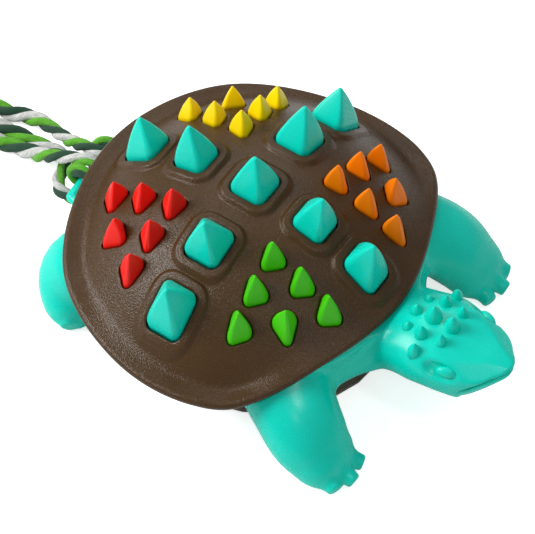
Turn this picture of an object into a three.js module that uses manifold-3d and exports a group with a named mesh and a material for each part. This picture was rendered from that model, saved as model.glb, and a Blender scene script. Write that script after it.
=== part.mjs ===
// A turtle-shaped chew toy for dogs: a soft rubber turtle held between two hard shells,
// four rubber spike pads that poke through the upper shell, and a rope hitched to its tail.
// Millimetres. +X runs to the head, +Y to the turtle's left, +Z up.
// The origin is the middle of the flat belly, on the floor, under the crown of the dome.
import * as THREE from "three";
import { mergeVertices } from "three/addons/utils/BufferGeometryUtils.js";
import Module from "manifold-3d";

const wasm = await Module();
wasm.setup();

// Fits
const beyond = 400; // cutting blocks reach past the toy
const clearance = 0.35; // between pieces that touch
const holeClearance = 0.4; // round a spike in its opening

// Upper shell: outline points of the left half, then heights and walls
const shellNose = 56.4;
const shellCheek = { x: 48.6, y: 31 };
const shellShoulder = { x: 30.2, y: 59.6 };
const shellFlank = { x: -4, y: 65.6 };
const shellHaunch = { x: -43.6, y: 47 };
const shellRump = -60;
const shellWall = 3;
const crownHeight = 57.5; // top of the dome above the floor
const domeRadius = 45.5; // where the dome has dropped by domeDrop
const domeDrop = 14.2;
const domePower = 2.55; // the drop grows with the distance from the axis to this power
const rimMiddle = 33.2; // mean height of the rim's top
const rimSway = 4.6; // higher than that at nose and rump, lower at the flanks
const rimLift = 1; // most that the lip rises from the foot of the dome
const rimThickness = 3.2;
const lipWidth = 7;
const shellSegments = 24;

// Pyramids on the cross of the back, and the raised collars round their openings
const pyramidBase = 12.5; // the middle one and those to the sides
const spineBase = 11.3; // those towards the head and the tail
const pyramidCorner = 2.4;
const pyramidHeight = 14.3;
const pyramidPitchX = [23.2, 43.1];
const pyramidPitchY = [25.6, 46.8];
const collarMargin = 3.3; // round the pyramid
const collarCorner = 6;
const collarFlare = 3;
const collarRise = 1.2;

// Three-sided spikes in the four quarters: rows of one, two and three
const spikeSide = 10.4;
const spikeCorner = 1.7;
const spikeHeight = 10;
const spikeRowRadius = [26.8, 36.3, 46];
const spikeRowSpread = [0, 24, 37]; // degrees between the outer two of a row
const spikeFrontAngle = 43.4;
const spikeRearAngle = 134;
const tipLean = 0.13; // away from the crown, per unit of height

// Spike pads under the shell
const padThickness = 2.4;
const padArm = 9; // half width of the cross between the pads
const padInnerRadius = 20.4;
const padOuterRadius = 52;

// Lower shell
const trayFront = 52.5;
const trayRear = 55;
const trayHalfWidth = 50.2;
const traySquareness = 2.2;
const trayHeight = 10;
const trayWall = 3;
const trayFloor = 3;
const trayEdgeRound = 6;

// Rubber body
const bodySkin = 8; // rubber above the hollow
const bodySide = 10; // rubber round the hollow
const bandInset = 0.6; // from the edge of the lower shell
const shoulderFlare = 4.6; // the core widens by this up to the dome

// Screw posts
const postReach = 11.2; // from the middle to each post, along X and along Y
const postRadius = 3;
const postFoot = 12.5;
const pilotRadius = 1.5;
const screwShank = 1.2;
const screwHead = 2.7;
const screwHeadHeight = 1.8;
const screwHeadSink = 0.6;
const screwLength = 20;
const bossRadius = 4.6;

// Tail eye and rope
const tailBarX = -66;
const tailBarZ = 17;
const tailBarRadius = 2.6;
const tailEyeHalfWidth = 13;
const tailArm = 5; // width of each side arm
const ropeDiameter = 4.8;
const knotLength = 10;
const knotRadius = 5.4;
const frayLength = 9; // loose strands behind the knot
const frayRadius = 3.6;

// Vectors, rings and solids

const V = (x, y, z) => new THREE.Vector3(x, y, z);

// A closed solid from rings of equally many points, each ring a closed loop. Ends are fanned to their middles.
function loft(rings) {
  const n = rings[0].length;
  const points = rings.flat();
  const middle = (ring) => ring.reduce((a, p) => a.add(p), V(0, 0, 0)).divideScalar(n);
  points.push(middle(rings[0]), middle(rings.at(-1)));
  const first = points.length - 2;
  const last = points.length - 1;
  const faces = [];
  for (let k = 0; k < n; k++) {
    const next = (k + 1) % n;
    faces.push([first, next, k]);
    for (let r = 0; r + 1 < rings.length; r++) {
      const a = r * n;
      const b = a + n;
      faces.push([a + k, a + next, b + next], [a + k, b + next, b + k]);
    }
    const top = (rings.length - 1) * n;
    faces.push([last, top + k, top + next]);
  }
  const geometry = new THREE.BufferGeometry().setFromPoints(points);
  geometry.setIndex(faces.flat());
  return geometry;
}

// A geometry's closed surface as a solid, facing out.
function solid(geometry) {
  const bare = geometry.clone();
  bare.deleteAttribute("normal");
  bare.deleteAttribute("uv");
  const merged = mergeVertices(bare, 1e-4);
  const { array } = merged.attributes.position;
  const corner = (i) => V(...array.slice(3 * i, 3 * i + 3));
  const faces = [];
  let volume = 0;
  for (let i = 0; i < merged.index.count; i += 3) {
    const [a, b, c] = merged.index.array.slice(i, i + 3);
    if (a === b || b === c || c === a) continue;
    faces.push([a, b, c]);
    volume += corner(a).dot(corner(b).cross(corner(c)));
  }
  const facing = volume < 0 ? faces.map(([a, b, c]) => [a, c, b]) : faces;
  return new wasm.Manifold(
    new wasm.Mesh({ numProp: 3, vertProperties: new Float32Array(array), triVerts: new Uint32Array(facing.flat()) }),
  );
}

// A solid's surface as a geometry again.
function geometryOf(body) {
  const { vertProperties, triVerts } = body.getMesh();
  const geometry = new THREE.BufferGeometry();
  geometry.setAttribute("position", new THREE.BufferAttribute(new Float32Array(vertProperties), 3));
  geometry.setIndex(Array.from(triVerts));
  geometry.computeVertexNormals();
  return geometry;
}

const join = (bodies) => bodies.reduce((whole, body) => whole.add(body));
const cut = (body, tools) => tools.reduce((left, tool) => left.subtract(tool), body);
const range = (count) => Array.from({ length: count }, (_, i) => i);
const radians = THREE.MathUtils.degToRad;

// A round bar between two heights.
function postSolid(x, y, low, high, radius, sides = 10) {
  const bar = new THREE.CylinderGeometry(radius, radius, high - low, sides);
  return solid(bar.rotateX(Math.PI / 2).translate(x, y, (low + high) / 2));
}

// Points round a regular polygon with rounded corners, its first corner along +X.
function roundedPolygon(sides, side, corner, perCorner) {
  const reach = side / (2 * Math.sin(Math.PI / sides));
  const centre = reach - corner / Math.cos(Math.PI / sides);
  return range(sides).flatMap((i) => {
    const turn = (2 * Math.PI * i) / sides;
    return range(perCorner).map((k) => {
      const swing = ((k / (perCorner - 1) - 0.5) * 2 * Math.PI) / sides + turn;
      return new THREE.Vector2(
        centre * Math.cos(turn) + corner * Math.cos(swing),
        centre * Math.sin(turn) + corner * Math.sin(swing),
      );
    });
  });
}

// Outlines and the dome

const leftHalf = [shellCheek, shellShoulder, shellFlank, shellHaunch];
const outlineCurve = new THREE.CatmullRomCurve3(
  [
    V(shellNose, 0, 0),
    ...leftHalf.map((p) => V(p.x, p.y, 0)),
    V(shellRump, 0, 0),
    ...leftHalf.toReversed().map((p) => V(p.x, -p.y, 0)),
  ],
  true,
);
const outlinePoints = outlineCurve.getPoints(400);
const outlinePolar = outlinePoints
  .map((p) => ({ angle: Math.atan2(p.y, p.x), radius: Math.hypot(p.x, p.y) }))
  .sort((a, b) => a.angle - b.angle);

// Distance from the crown's axis to the upper shell's outline at an angle.
function shellRadius(angle) {
  const wrapped = Math.atan2(Math.sin(angle), Math.cos(angle));
  const after = outlinePolar.findIndex((p) => p.angle >= wrapped);
  const b = outlinePolar[after < 0 ? 0 : after];
  const a = outlinePolar.at(after < 0 ? -1 : after - 1);
  const gap = Math.atan2(Math.sin(b.angle - a.angle), Math.cos(b.angle - a.angle));
  const part = Math.atan2(Math.sin(wrapped - a.angle), Math.cos(wrapped - a.angle));
  return THREE.MathUtils.lerp(a.radius, b.radius, Math.abs(gap) < 1e-9 ? 0 : part / gap);
}

// Distance from the axis to the lower shell's oval outline at an angle.
function trayRadius(angle) {
  const c = Math.abs(Math.cos(angle));
  const s = Math.abs(Math.sin(angle));
  const length = Math.cos(angle) > 0 ? trayFront : trayRear;
  const n = traySquareness;
  return ((c / length) ** n + (s / trayHalfWidth) ** n) ** (-1 / n);
}

// Height and steepness of the dome, which is round, at a distance from its axis.
const roundDome = (radius) => crownHeight - domeDrop * (radius / domeRadius) ** domePower;
const domeSlope = (radius) => ((domeDrop * domePower) / domeRadius) * (radius / domeRadius) ** (domePower - 1);

// Height of the rim's top edge at an angle.
function rimTop(angle) {
  const foot = roundDome(shellRadius(angle) - lipWidth);
  return Math.min(rimMiddle + rimSway * Math.cos(2 * angle), foot + rimLift);
}

// Rings of the upper shell's outer face at an angle, [radius, height]: the dome, then a flatter lip to the edge.
const domeShares = [0, 0.42, 0.74, 1];
function domeRings(angle) {
  const edge = shellRadius(angle);
  const radii = domeShares.map((share) => share * (edge - lipWidth));
  return [...radii.map((radius) => [radius, roundDome(radius)]), [edge, rimTop(angle)]];
}

// Height of that face, straight between its rings, at a distance from the axis.
function domeHeight(radius, angle) {
  const rings = domeRings(angle);
  const after = rings.findIndex(([r]) => r >= radius);
  const outer = after < 0 ? rings.length - 1 : Math.max(after, 1);
  const [a, b] = [rings[outer - 1], rings[outer]];
  return THREE.MathUtils.lerp(a[1], b[1], (radius - a[0]) / (b[0] - a[0]));
}

const heightAt = (x, y) => domeHeight(Math.hypot(x, y), Math.atan2(y, x));

// A solid of rings round the axis: profile(angle) lists [radius, height] from one pole to the other.
function roundSolid(profile, segments = shellSegments) {
  const columns = range(segments).map((k) => {
    const angle = (2 * Math.PI * k) / segments;
    return profile(angle).map(([r, z]) => V(r * Math.cos(angle), r * Math.sin(angle), z));
  });
  return solid(loft(columns[0].map((_, i) => columns.map((column) => column[i]))));
}

// The volume under the dome, lowered by a depth, inside an edge radius, down to a floor height.
// The floor may change with the angle; the wall under the edge may draw in to a smaller foot.
function underDome(depth, edgeRadius, floor, footInset = 0) {
  const floorAt = typeof floor === "function" ? floor : () => floor;
  return roundSolid((angle) => {
    const edge = edgeRadius(angle);
    const low = floorAt(angle);
    const radii = [...domeRings(angle).slice(0, -1).map(([r]) => Math.min(r, edge)), edge];
    const top = radii.map((r) => [r, Math.max(domeHeight(r, angle) - depth, low + 0.5)]);
    return [...top, [edge - footInset, low], [0, floorAt(Math.PI / 4)]];
  });
}

// A frame on the dome at a point. Its X and Y lie along the slope, so an outline keeps its plan shape;
// its Z stands upright but for a small lean away from the crown.
function seat(x, y, rise) {
  const radius = Math.hypot(x, y);
  const perRadius = radius ? domeSlope(radius) / radius : 0;
  const [slopeX, slopeY] = [x * perRadius, y * perRadius];
  const frame = new THREE.Matrix4().makeBasis(
    V(1, 0, -slopeX),
    V(0, 1, -slopeY),
    V(radius ? (x / radius) * tipLean : 0, radius ? (y / radius) * tipLean : 0, 1),
  );
  return frame.setPosition(V(x, y, heightAt(x, y) + rise));
}

// A straight prism of an outline between two local heights.
function prism(outline, low, high, frame) {
  const ring = (z) => outline.map((p) => V(p.x, p.y, z));
  return solid(loft([ring(low), ring(high)]).applyMatrix4(frame));
}

// A tooth: a straight root, then sides that swell a little as they close on a blunt tip.
const tipShares = [0, 0.55, 1];
const tipScale = (share) => 1 - 0.88 * share ** 1.15;
function tooth(outline, root, height, frame) {
  const rings = tipShares.map((share) => {
    return outline.map((p) => V(p.x * tipScale(share), p.y * tipScale(share), share * height));
  });
  return solid(loft([outline.map((p) => V(p.x, p.y, -root)), ...rings]).applyMatrix4(frame));
}

// Where the teeth stand

const pyramidSpots = [
  { x: 0, y: 0, base: pyramidBase },
  ...pyramidPitchY.flatMap((y) => [{ x: 0, y, base: pyramidBase }, { x: 0, y: -y, base: pyramidBase }]),
  ...pyramidPitchX.flatMap((x) => [{ x, y: 0, base: spineBase }, { x: -x, y: 0, base: spineBase }]),
];
const squareTurn = new THREE.Matrix4().makeRotationZ(Math.PI / 4);
const pyramidOutline = (base, grow = 0) => roundedPolygon(4, base + 2 * grow, pyramidCorner + grow, 3);
const collarOutline = (base, grow) => roundedPolygon(4, base + 2 * (collarMargin + grow), collarCorner + grow, 3);

const spikeOutline = roundedPolygon(3, spikeSide, spikeCorner, 2);
const triangleGrowth = 2 * Math.sqrt(3); // an equilateral triangle's side grows this much per unit of offset
const spikeHole = roundedPolygon(3, spikeSide + triangleGrowth * holeClearance, spikeCorner + holeClearance, 2);

// The six spikes of the quarter round one angle. All turn the same way, with a corner to the crown, but the last row's
// middle one points the other way.
function spikeSpots(angle) {
  return spikeRowRadius.flatMap((radius, row) =>
    range(row + 1).map((k) => {
      const share = row ? k / row - 0.5 : 0;
      const at = radians(angle + share * spikeRowSpread[row]);
      const reversed = row === 2 && k === 1;
      return { x: radius * Math.cos(at), y: radius * Math.sin(at), turn: radians(angle) + (reversed ? 0 : Math.PI) };
    }),
  );
}

const quarters = [
  { name: "orange_spike_pad", angle: spikeFrontAngle, colour: "#e06a00" },
  { name: "yellow_spike_pad", angle: spikeRearAngle, colour: "#f5d800" },
  { name: "red_spike_pad", angle: -spikeRearAngle, colour: "#d3140f" },
  { name: "green_spike_pad", angle: -spikeFrontAngle, colour: "#3da015" },
];
const spikeFrame = (spot) => seat(spot.x, spot.y, 0).multiply(new THREE.Matrix4().makeRotationZ(spot.turn));
const pyramidFrame = ({ x, y }) => seat(x, y, collarRise).multiply(squareTurn);
const postSpots = [1, -1].flatMap((i) => [1, -1].map((j) => [i * postReach, j * postReach]));
const openingDepth = 12;

// Upper shell

// The shell as a closed dome with its hollow cut out, grown outwards by a gap where it is used to clear a neighbour.
function bareShell(gap) {
  const outer = underDome(-gap, (a) => shellRadius(a) + gap, (a) => rimTop(a) - rimThickness - gap);
  const inner = underDome(shellWall + gap, (a) => shellRadius(a) - shellWall - gap, trayHeight);
  return { outer, inner };
}

function upperShell() {
  const { outer, inner } = bareShell(0);
  const insideWall = underDome(shellWall / 2, (a) => shellRadius(a) + lipWidth, 0);
  const collars = pyramidSpots.map((spot) => {
    const frame = pyramidFrame(spot);
    const ring = (grow, z) => collarOutline(spot.base, grow).map((p) => V(p.x, p.y, z));
    const rings = [ring(collarFlare, -collarRise - collarFlare), ring(0, -0.8), ring(-0.8, 0)];
    return solid(loft(rings).applyMatrix4(frame)).subtract(insideWall);
  });
  const holes = [
    ...pyramidSpots.map((spot) => {
      return prism(pyramidOutline(spot.base, holeClearance), -openingDepth, openingDepth, pyramidFrame(spot));
    }),
    ...quarters.flatMap((q) =>
      spikeSpots(q.angle).map((spot) => prism(spikeHole, -openingDepth, openingDepth, spikeFrame(spot))),
    ),
  ];
  const posts = postSpots.map(([x, y]) => {
    return postSolid(x, y, postFoot, heightAt(x, y) - shellWall / 2, postRadius);
  });
  const pilots = postSpots.map(([x, y]) => {
    return postSolid(x, y, postFoot - 1, trayFloor + screwLength + 2, pilotRadius, 8);
  });
  const shell = cut(join([outer, ...collars]), [inner, ...holes]);
  return cut(join([shell, ...posts]), pilots);
}

// Lower shell

function traySolid(gap) {
  const turns = range(4).map((k) => (Math.PI / 2) * (k / 3));
  return roundSolid((angle) => {
    const edge = trayRadius(angle) + gap;
    const bend = turns.map((t) => [
      edge - trayEdgeRound * (1 - Math.sin(t)),
      trayEdgeRound * (1 - Math.cos(t)) - gap,
    ]);
    return [[0, -gap], ...bend, [edge, trayHeight + gap], [0, trayHeight + gap]];
  });
}

function lowerShell() {
  const hollow = roundSolid((angle) => {
    const edge = trayRadius(angle) - trayWall;
    return [[0, trayFloor], [edge - 2, trayFloor], [edge, trayFloor + 2], [edge, trayHeight + 5], [0, trayHeight + 5]];
  });
  const bosses = postSpots.map(([x, y]) => postSolid(x, y, trayFloor - 1, postFoot - clearance, bossRadius));
  const holes = postSpots.flatMap(([x, y]) => [
    postSolid(x, y, -1, postFoot + 1, pilotRadius, 8),
    postSolid(x, y, -1, screwHeadSink + screwHeadHeight + clearance, screwHead + clearance, 12),
  ]);
  return cut(join([cut(traySolid(0), [hollow]), ...bosses]), holes);
}

// A pan-headed screw, head down, threaded part left plain.
function screw() {
  const profile = [
    [0, 0],
    [screwHead * 0.7, 0],
    [screwHead, 0.5],
    [screwHead, screwHeadHeight],
    [screwShank, screwHeadHeight],
    [screwShank, screwLength - 1.5],
    [0, screwLength],
  ];
  const turned = new THREE.LatheGeometry(profile.map(([r, z]) => new THREE.Vector2(r, z)), 10);
  return solid(turned.rotateX(Math.PI / 2));
}

// Spike pads

const padTopDepth = shellWall + clearance;

// One quarter's sheet outline: an arc inside, an arc outside, and edges along the arms of the cross.
function padOutline(angle, grow) {
  const arm = padArm - grow;
  const inside = padInnerRadius - grow;
  const outside = padOuterRadius + grow;
  const low = Math.asin(arm / inside);
  const flat = Math.asin(arm / outside);
  const shape = new THREE.Shape();
  shape.absarc(0, 0, outside, flat, Math.PI / 2 - flat, false);
  shape.absarc(0, 0, inside, Math.PI / 2 - low, low, true);
  const quarter = Math.floor(angle / 90) * (Math.PI / 2);
  return shape.getPoints(5).slice(0, -1).map((p) => p.rotateAround(new THREE.Vector2(), quarter));
}

function extrudeUp(outline, low, high) {
  const shape = new THREE.Shape(outline);
  const tall = new THREE.ExtrudeGeometry(shape, { depth: high - low, bevelEnabled: false });
  return solid(tall.translate(0, 0, low));
}

function spikePad(quarter) {
  const layer = underDome(padTopDepth, (a) => shellRadius(a) - shellWall - clearance, trayHeight);
  const under = underDome(padTopDepth + padThickness, (a) => shellRadius(a), 0);
  const sheet = layer.intersect(extrudeUp(padOutline(quarter.angle, 0), 0, crownHeight));
  const root = padTopDepth + padThickness / 2;
  const spikes = spikeSpots(quarter.angle).map((spot) => tooth(spikeOutline, root, spikeHeight, spikeFrame(spot)));
  return join([sheet, ...spikes]).subtract(under);
}

// Rubber body: limbs as sections along a line, each {at, wide, high}, wide and high being half sizes

function limb(sections, power = 2.3, sides = 10) {
  const rings = sections.map(({ at, wide, high }, i) => {
    const from = sections[Math.max(i - 1, 0)].at;
    const to = sections[Math.min(i + 1, sections.length - 1)].at;
    const side = V(-(to[1] - from[1]), to[0] - from[0], 0).normalize();
    const round = (v) => Math.sign(v) * Math.abs(v) ** (2 / power);
    return range(sides).map((k) => {
      const turn = (2 * Math.PI * k) / sides;
      return V(...at)
        .addScaledVector(side, wide * round(Math.cos(turn)))
        .add(V(0, 0, high * round(Math.sin(turn))));
    });
  });
  return solid(loft(rings));
}

const ball = (at, size, sides = 10) => {
  const sphere = new THREE.SphereGeometry(1, sides, 4).rotateX(Math.PI / 2);
  return solid(sphere.scale(...size).translate(...at));
};

const legSolid = (rows, side) =>
  limb(rows.map(([x, y, z, wide, high]) => ({ at: [x, side * y, z], wide, high })));

// Left legs, [x, y, z, half width, half height] from hip to foot; the right ones mirror them
const frontLeg = [
  [24, 26, 21, 12, 8],
  [36, 35.5, 20.4, 13, 8.2],
  [45, 41.5, 17, 13, 8.4],
  [53, 45, 12, 12, 8.4],
  [59.4, 45.8, 7.2, 10.4, 7.4],
  [64, 45.6, 4, 8.6, 5.2],
  [66.4, 45.5, 3, 7, 3.4],
];
const frontToes = [[63.5, 52, 3.2], [67.2, 45.5, 3.2], [64.6, 38.5, 3.2]];
const rearLeg = [
  [-26, 26, 21, 12, 8],
  [-40, 31.4, 20, 12, 8.2],
  [-48.6, 34.4, 15, 11, 9],
  [-49.6, 38, 9.5, 9.5, 8],
  [-44.6, 41, 5.5, 8.4, 6.4],
  [-41, 42, 3, 6.6, 3.6],
];
const rearToes = [[-41.4, 47, 3], [-38.6, 42.4, 3], [-39.6, 37, 3]];
const toeSize = [3.8, 3.2, 3.8];

// Head and neck: [x, half width, bottom, top]
const headSections = [
  [34, 12, 12, 29],
  [46, 13.2, 11.5, 31.4],
  [54, 13, 12.5, 33.6],
  [59, 13.2, 14.5, 36.6],
  [64, 14.2, 16.5, 38.6],
  [71, 15.8, 18.5, 40],
  [78, 16, 20, 40],
  [84, 14.4, 21, 38.6],
  [89, 11.6, 22, 36.6],
  [93, 8.8, 23.4, 34.4],
  [96, 5.6, 25.4, 32.2],
];
const eyeAt = [82.4, 13.6, 35.4];
const eyeSize = [3.6, 1.9, 2.3];
const mouthHeight = 26.6;
const mouthGroove = 0.9;
const mouthDepth = 1.1;
const mouthStart = 77;
// Small spikes on the crown of the head: [x, y, base radius, height]; those off the middle come in pairs
const headSpikes = [
  [62.6, 0, 2.6, 4.2],
  [68.6, 0, 3, 6.4],
  [75.4, 0, 2.9, 6.2],
  [63.4, 6.4, 1.8, 3],
  [68.8, 7.4, 2.4, 5],
  [69.8, 12.6, 2, 4],
  [75.6, 6.6, 2.2, 4.4],
];

function headSolid(inset) {
  const sections = headSections.map(([x, wide, low, high]) => ({
    at: [x, 0, (low + high) / 2],
    wide: wide - inset,
    high: (high - low) / 2 - inset,
  }));
  return limb(sections, 2.5, 14);
}

// Height of the head's top at a place, from the same sections.
function headTop(x, y) {
  const after = headSections.findIndex((s) => s[0] >= x);
  const [a, b] = [headSections[after - 1], headSections[after]];
  const part = (x - a[0]) / (b[0] - a[0]);
  const [wide, low, high] = [1, 2, 3].map((i) => THREE.MathUtils.lerp(a[i], b[i], part));
  return (low + high) / 2 + ((high - low) / 2) * (1 - Math.min(Math.abs(y) / wide, 1) ** 2.5) ** (1 / 2.5);
}

function head() {
  const slot = solid(new THREE.BoxGeometry(beyond, beyond, mouthGroove).translate(mouthStart + beyond / 2, 0, mouthHeight));
  const groove = slot.subtract(headSolid(mouthDepth));
  const spikes = headSpikes.flatMap(([x, y, radius, height]) =>
    (y ? [y, -y] : [0]).map((side) => {
      const profile = [[0, -1], [radius, -1], [radius * 0.62, height * 0.5], [0, height]];
      const cone = new THREE.LatheGeometry(profile.map(([r, z]) => new THREE.Vector2(r, z)), 6);
      return solid(cone.rotateX(Math.PI / 2).translate(x, side, headTop(x, side) - 0.4));
    }),
  );
  const eyes = [1, -1].map((side) => ball([eyeAt[0], side * eyeAt[1], eyeAt[2]], eyeSize));
  return join([headSolid(0).subtract(groove), ...spikes, ...eyes]);
}

// The tail's eye: two arms out of the body and a round bar across their ends, for the rope.
function tailEye() {
  const armY = tailEyeHalfWidth + tailArm / 2;
  const arms = [1, -1].map((side) =>
    limb(
      [
        { at: [tailBarX + 26, side * armY, tailBarZ], wide: tailArm / 2, high: 4 },
        { at: [tailBarX, side * armY, tailBarZ], wide: tailArm / 2, high: tailBarRadius },
        { at: [tailBarX - tailBarRadius, side * armY, tailBarZ], wide: tailArm / 4, high: tailBarRadius / 2 },
      ],
      3,
      12,
    ),
  );
  const bar = new THREE.CylinderGeometry(tailBarRadius, tailBarRadius, 2 * armY, 16);
  return join([...arms, solid(bar.translate(tailBarX, 0, tailBarZ))]);
}

function rubberBody() {
  const legs = [frontLeg, rearLeg].flatMap((rows) => [legSolid(rows, 1), legSolid(rows, -1)]);
  const toes = [...frontToes, ...rearToes].flatMap(([x, y, z]) => [ball([x, y, z], toeSize, 7), ball([x, -y, z], toeSize, 7)]);
  const floorSlab = solid(new THREE.BoxGeometry(beyond, beyond, crownHeight).translate(0, 0, -crownHeight / 2));
  const { outer, inner } = bareShell(clearance);
  const shellSpace = outer.subtract(inner);
  const limbs = cut(join([...legs, ...toes, head(), tailEye()]), [traySolid(clearance), floorSlab]);

  const plugTop = trayHeight + clearance;
  const plug = roundSolid((angle) => {
    const edge = trayRadius(angle) - trayWall - clearance;
    const low = trayFloor + clearance;
    return [[0, low], [edge - 2.5, low], [edge, low + 2.5], [edge, plugTop + 1], [0, plugTop + 1]];
  });
  const core = underDome(shellWall, (a) => trayRadius(a) - bandInset + shoulderFlare, plugTop, shoulderFlare);
  const pocketDepth = padTopDepth + padThickness + clearance;
  const pocketLayer = underDome(padTopDepth - 2, (a) => shellRadius(a), trayHeight)
    .subtract(underDome(pocketDepth, (a) => shellRadius(a) + lipWidth, 0));
  const pockets = quarters.map((q) => pocketLayer.intersect(extrudeUp(padOutline(q.angle, clearance), 0, crownHeight)));
  const hollow = underDome(padTopDepth + bodySkin, (a) => trayRadius(a) - trayWall - bodySide, -5);
  const postHoles = postSpots.map(([x, y]) => postSolid(x, y, -5, crownHeight, postRadius + clearance));
  const pyramids = pyramidSpots.map((spot) => {
    return tooth(pyramidOutline(spot.base), shellWall + collarRise + 4, pyramidHeight, pyramidFrame(spot));
  });
  const block = cut(join([core, plug, limbs]), [shellSpace, ...pockets, hollow, ...postHoles]);
  return join([block, ...pyramids]);
}

// Rope: one cord. Its short end comes in over the tail's bar, winds towards the right, leaves under the bar, crosses
// under both legs and goes out again as the handle loop, which comes back over the bar and winds to the left.

const ropeRadius = ropeDiameter / 2;
const wrapRadius = tailBarRadius + ropeRadius + clearance;
const ropePitch = ropeDiameter + clearance; // from one turn on the bar to the next
const floorZ = ropeRadius + clearance; // middle of a rope that lies on the floor

// Points of a winding on the tail's bar: turns downwards on the body's side, from one angle to another.
function winding(from, to, y, side) {
  const count = Math.round((from - to) / 45);
  return range(count + 1).map((k) => {
    const degrees = THREE.MathUtils.lerp(from, to, k / count);
    const along = y + (side * ropePitch * (90 - degrees)) / 360;
    const turn = radians(degrees);
    return V(tailBarX + wrapRadius * Math.cos(turn), along, tailBarZ + wrapRadius * Math.sin(turn));
  });
}

const tailRoute = [[-126, -7, floorZ], [-119, -4, floorZ], [-111, -1, floorZ], [-103, 0.7, 3.2], [-96, 1, 4.8], [-89.6, 0.2, 8.4]];
const tailLead = [[-82.6, -1.5, 14.4], [-75.6, -1.5, 18.8]];
const crossing = [[-69.6, -10.2, 10.8], [-75.4, -8.6, 10], [-78.6, -3.6, 9.4], [-80.4, 1.4, 8.6], [-84.6, 5.2, 6.8]];
const handleRoute = [
  [-90.6, 6.7, 4.4],
  [-98, 6.4, floorZ],
  [-106, 5.9, floorZ],
  [-116, 4.4, floorZ],
  [-127, 2, floorZ],
  [-138, 1.4, floorZ],
  [-147, 4.6, floorZ],
  [-151, 12, floorZ],
  [-146.6, 19, floorZ],
  [-138, 20.4, floorZ],
  [-129, 16.4, floorZ],
  [-121, 12.4, floorZ],
  [-113.6, 11.8, floorZ],
  [-106, 14.2, 3.2],
  [-98.4, 13.4, 6],
];
const handleLead = [[-90.6, 10.6, 9.4], [-82.6, 7.6, 13.6], [-76.4, 5.4, 18.2], [-72.4, 4.2, 20.7]];
const rightWinding = winding(105, -450, -1.1, -1);
const leftWinding = winding(105, -330, 4.2, 1);
const point = ([x, y, z]) => V(x, y, z);
const wholeRope = new THREE.CatmullRomCurve3([
  ...tailRoute.map(point),
  ...tailLead.map(point),
  ...rightWinding,
  ...crossing.map(point),
  ...handleRoute.map(point),
  ...handleLead.map(point),
  ...leftWinding,
]);

// A stretch of the rope between two of its points, counted along the route, with a seam's clearance at each end.
function stretch(first, last) {
  const knots = wholeRope.points.length - 1;
  const count = 4 * (last - first);
  const fine = range(count + 1).map((k) => wholeRope.getPoint((first + k / 4) / knots));
  const route = new THREE.CatmullRomCurve3(fine);
  const share = clearance / 2 / route.getLength();
  return new THREE.CatmullRomCurve3(range(count + 1).map((k) => route.getPointAt(THREE.MathUtils.lerp(share, 1 - share, k / count))));
}

function roundCord(route, steps) {
  const section = new THREE.Shape().absarc(0, 0, ropeRadius, 0, 2 * Math.PI);
  return solid(new THREE.ExtrudeGeometry(section, { steps, curveSegments: 4, extrudePath: route }));
}

const hitchStart = tailRoute.length;
const hitchMiddle = hitchStart + tailLead.length + rightWinding.length + crossing.length;
const handleEnd = hitchMiddle + handleRoute.length - 1;
const ropeEnd = wholeRope.points.length - 1;

// A lump of round sections in line with the rope's short end, behind its first point: [distance, radius] rows.
function behindTail(rows) {
  const end = wholeRope.getPoint(0);
  const away = wholeRope.getTangent(0).negate();
  const sections = rows.map(([distance, radius]) => {
    const at = end.clone().addScaledVector(away, distance);
    return { at: [at.x, at.y, Math.max(radius + clearance / 2, floorZ)], wide: radius, high: radius };
  });
  return limb(sections, 2, 12);
}

const knotStart = clearance / 2;
const knotEnd = knotStart + knotLength;
const endKnot = () => {
  const bulge = [[0, 0.6], [0.18, 0.9], [0.5, 1], [0.82, 0.9], [1, 0.6]];
  return behindTail(bulge.map(([share, swell]) => [knotStart + share * knotLength, knotRadius * swell]));
};
const fray = () => {
  const start = knotEnd + clearance;
  return behindTail([[start, ropeRadius], [start + frayLength * 0.4, frayRadius * 0.86], [start + frayLength, frayRadius]]);
};

// Where the toy is taken apart: a mesh for each piece

const nylon = { color: "#5a4636", roughness: 0.55, metalness: 0 };
const rubber = { color: "#14c4b0", roughness: 0.35, metalness: 0 };

function piece(name, body, look) {
  const mesh = new THREE.Mesh(geometryOf(body), new THREE.MeshStandardMaterial(look));
  mesh.name = name;
  return mesh;
}

const toy = new THREE.Group();
toy.add(piece("upper_shell", upperShell(), nylon));
toy.add(piece("lower_shell", lowerShell(), nylon));
toy.add(piece("rubber_body", rubberBody(), rubber));
for (const quarter of quarters) {
  toy.add(piece(quarter.name, spikePad(quarter), { color: quarter.colour, roughness: 0.35, metalness: 0 }));
}
postSpots.forEach(([x, y], i) => {
  const mesh = piece(`belly_screw_${i + 1}`, screw(), { color: "#8d9094", roughness: 0.35, metalness: 1 });
  mesh.position.set(x, y, screwHeadSink);
  toy.add(mesh);
});

const rope = { color: "#7fae5a", roughness: 0.9, metalness: 0 };
toy.add(piece("rope_tail", roundCord(stretch(0, hitchStart), 12), rope));
toy.add(piece("rope_hitch", roundCord(stretch(hitchStart, hitchMiddle), 40), rope));
toy.add(piece("rope_handle", roundCord(stretch(hitchMiddle, handleEnd), 22), rope));
toy.add(piece("rope_turns", roundCord(stretch(handleEnd, ropeEnd), 22), rope));
toy.add(piece("rope_end_knot", endKnot(), rope));
toy.add(piece("rope_fray", fray(), rope));

export default toy;
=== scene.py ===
# %% [markdown]
# # A rubber turtle for dogs, built from surfaces
#
# The toy is a soft teal turtle held between two hard brown shells. Nine teal pyramids and
# twenty-four coloured spikes come up through the upper shell, and a twisted rope is hitched to the tail.
# Each cell below makes one kind of piece. Lengths are in millimetres until a mesh is made.

# %% Load the frame
from collections import namedtuple

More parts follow.
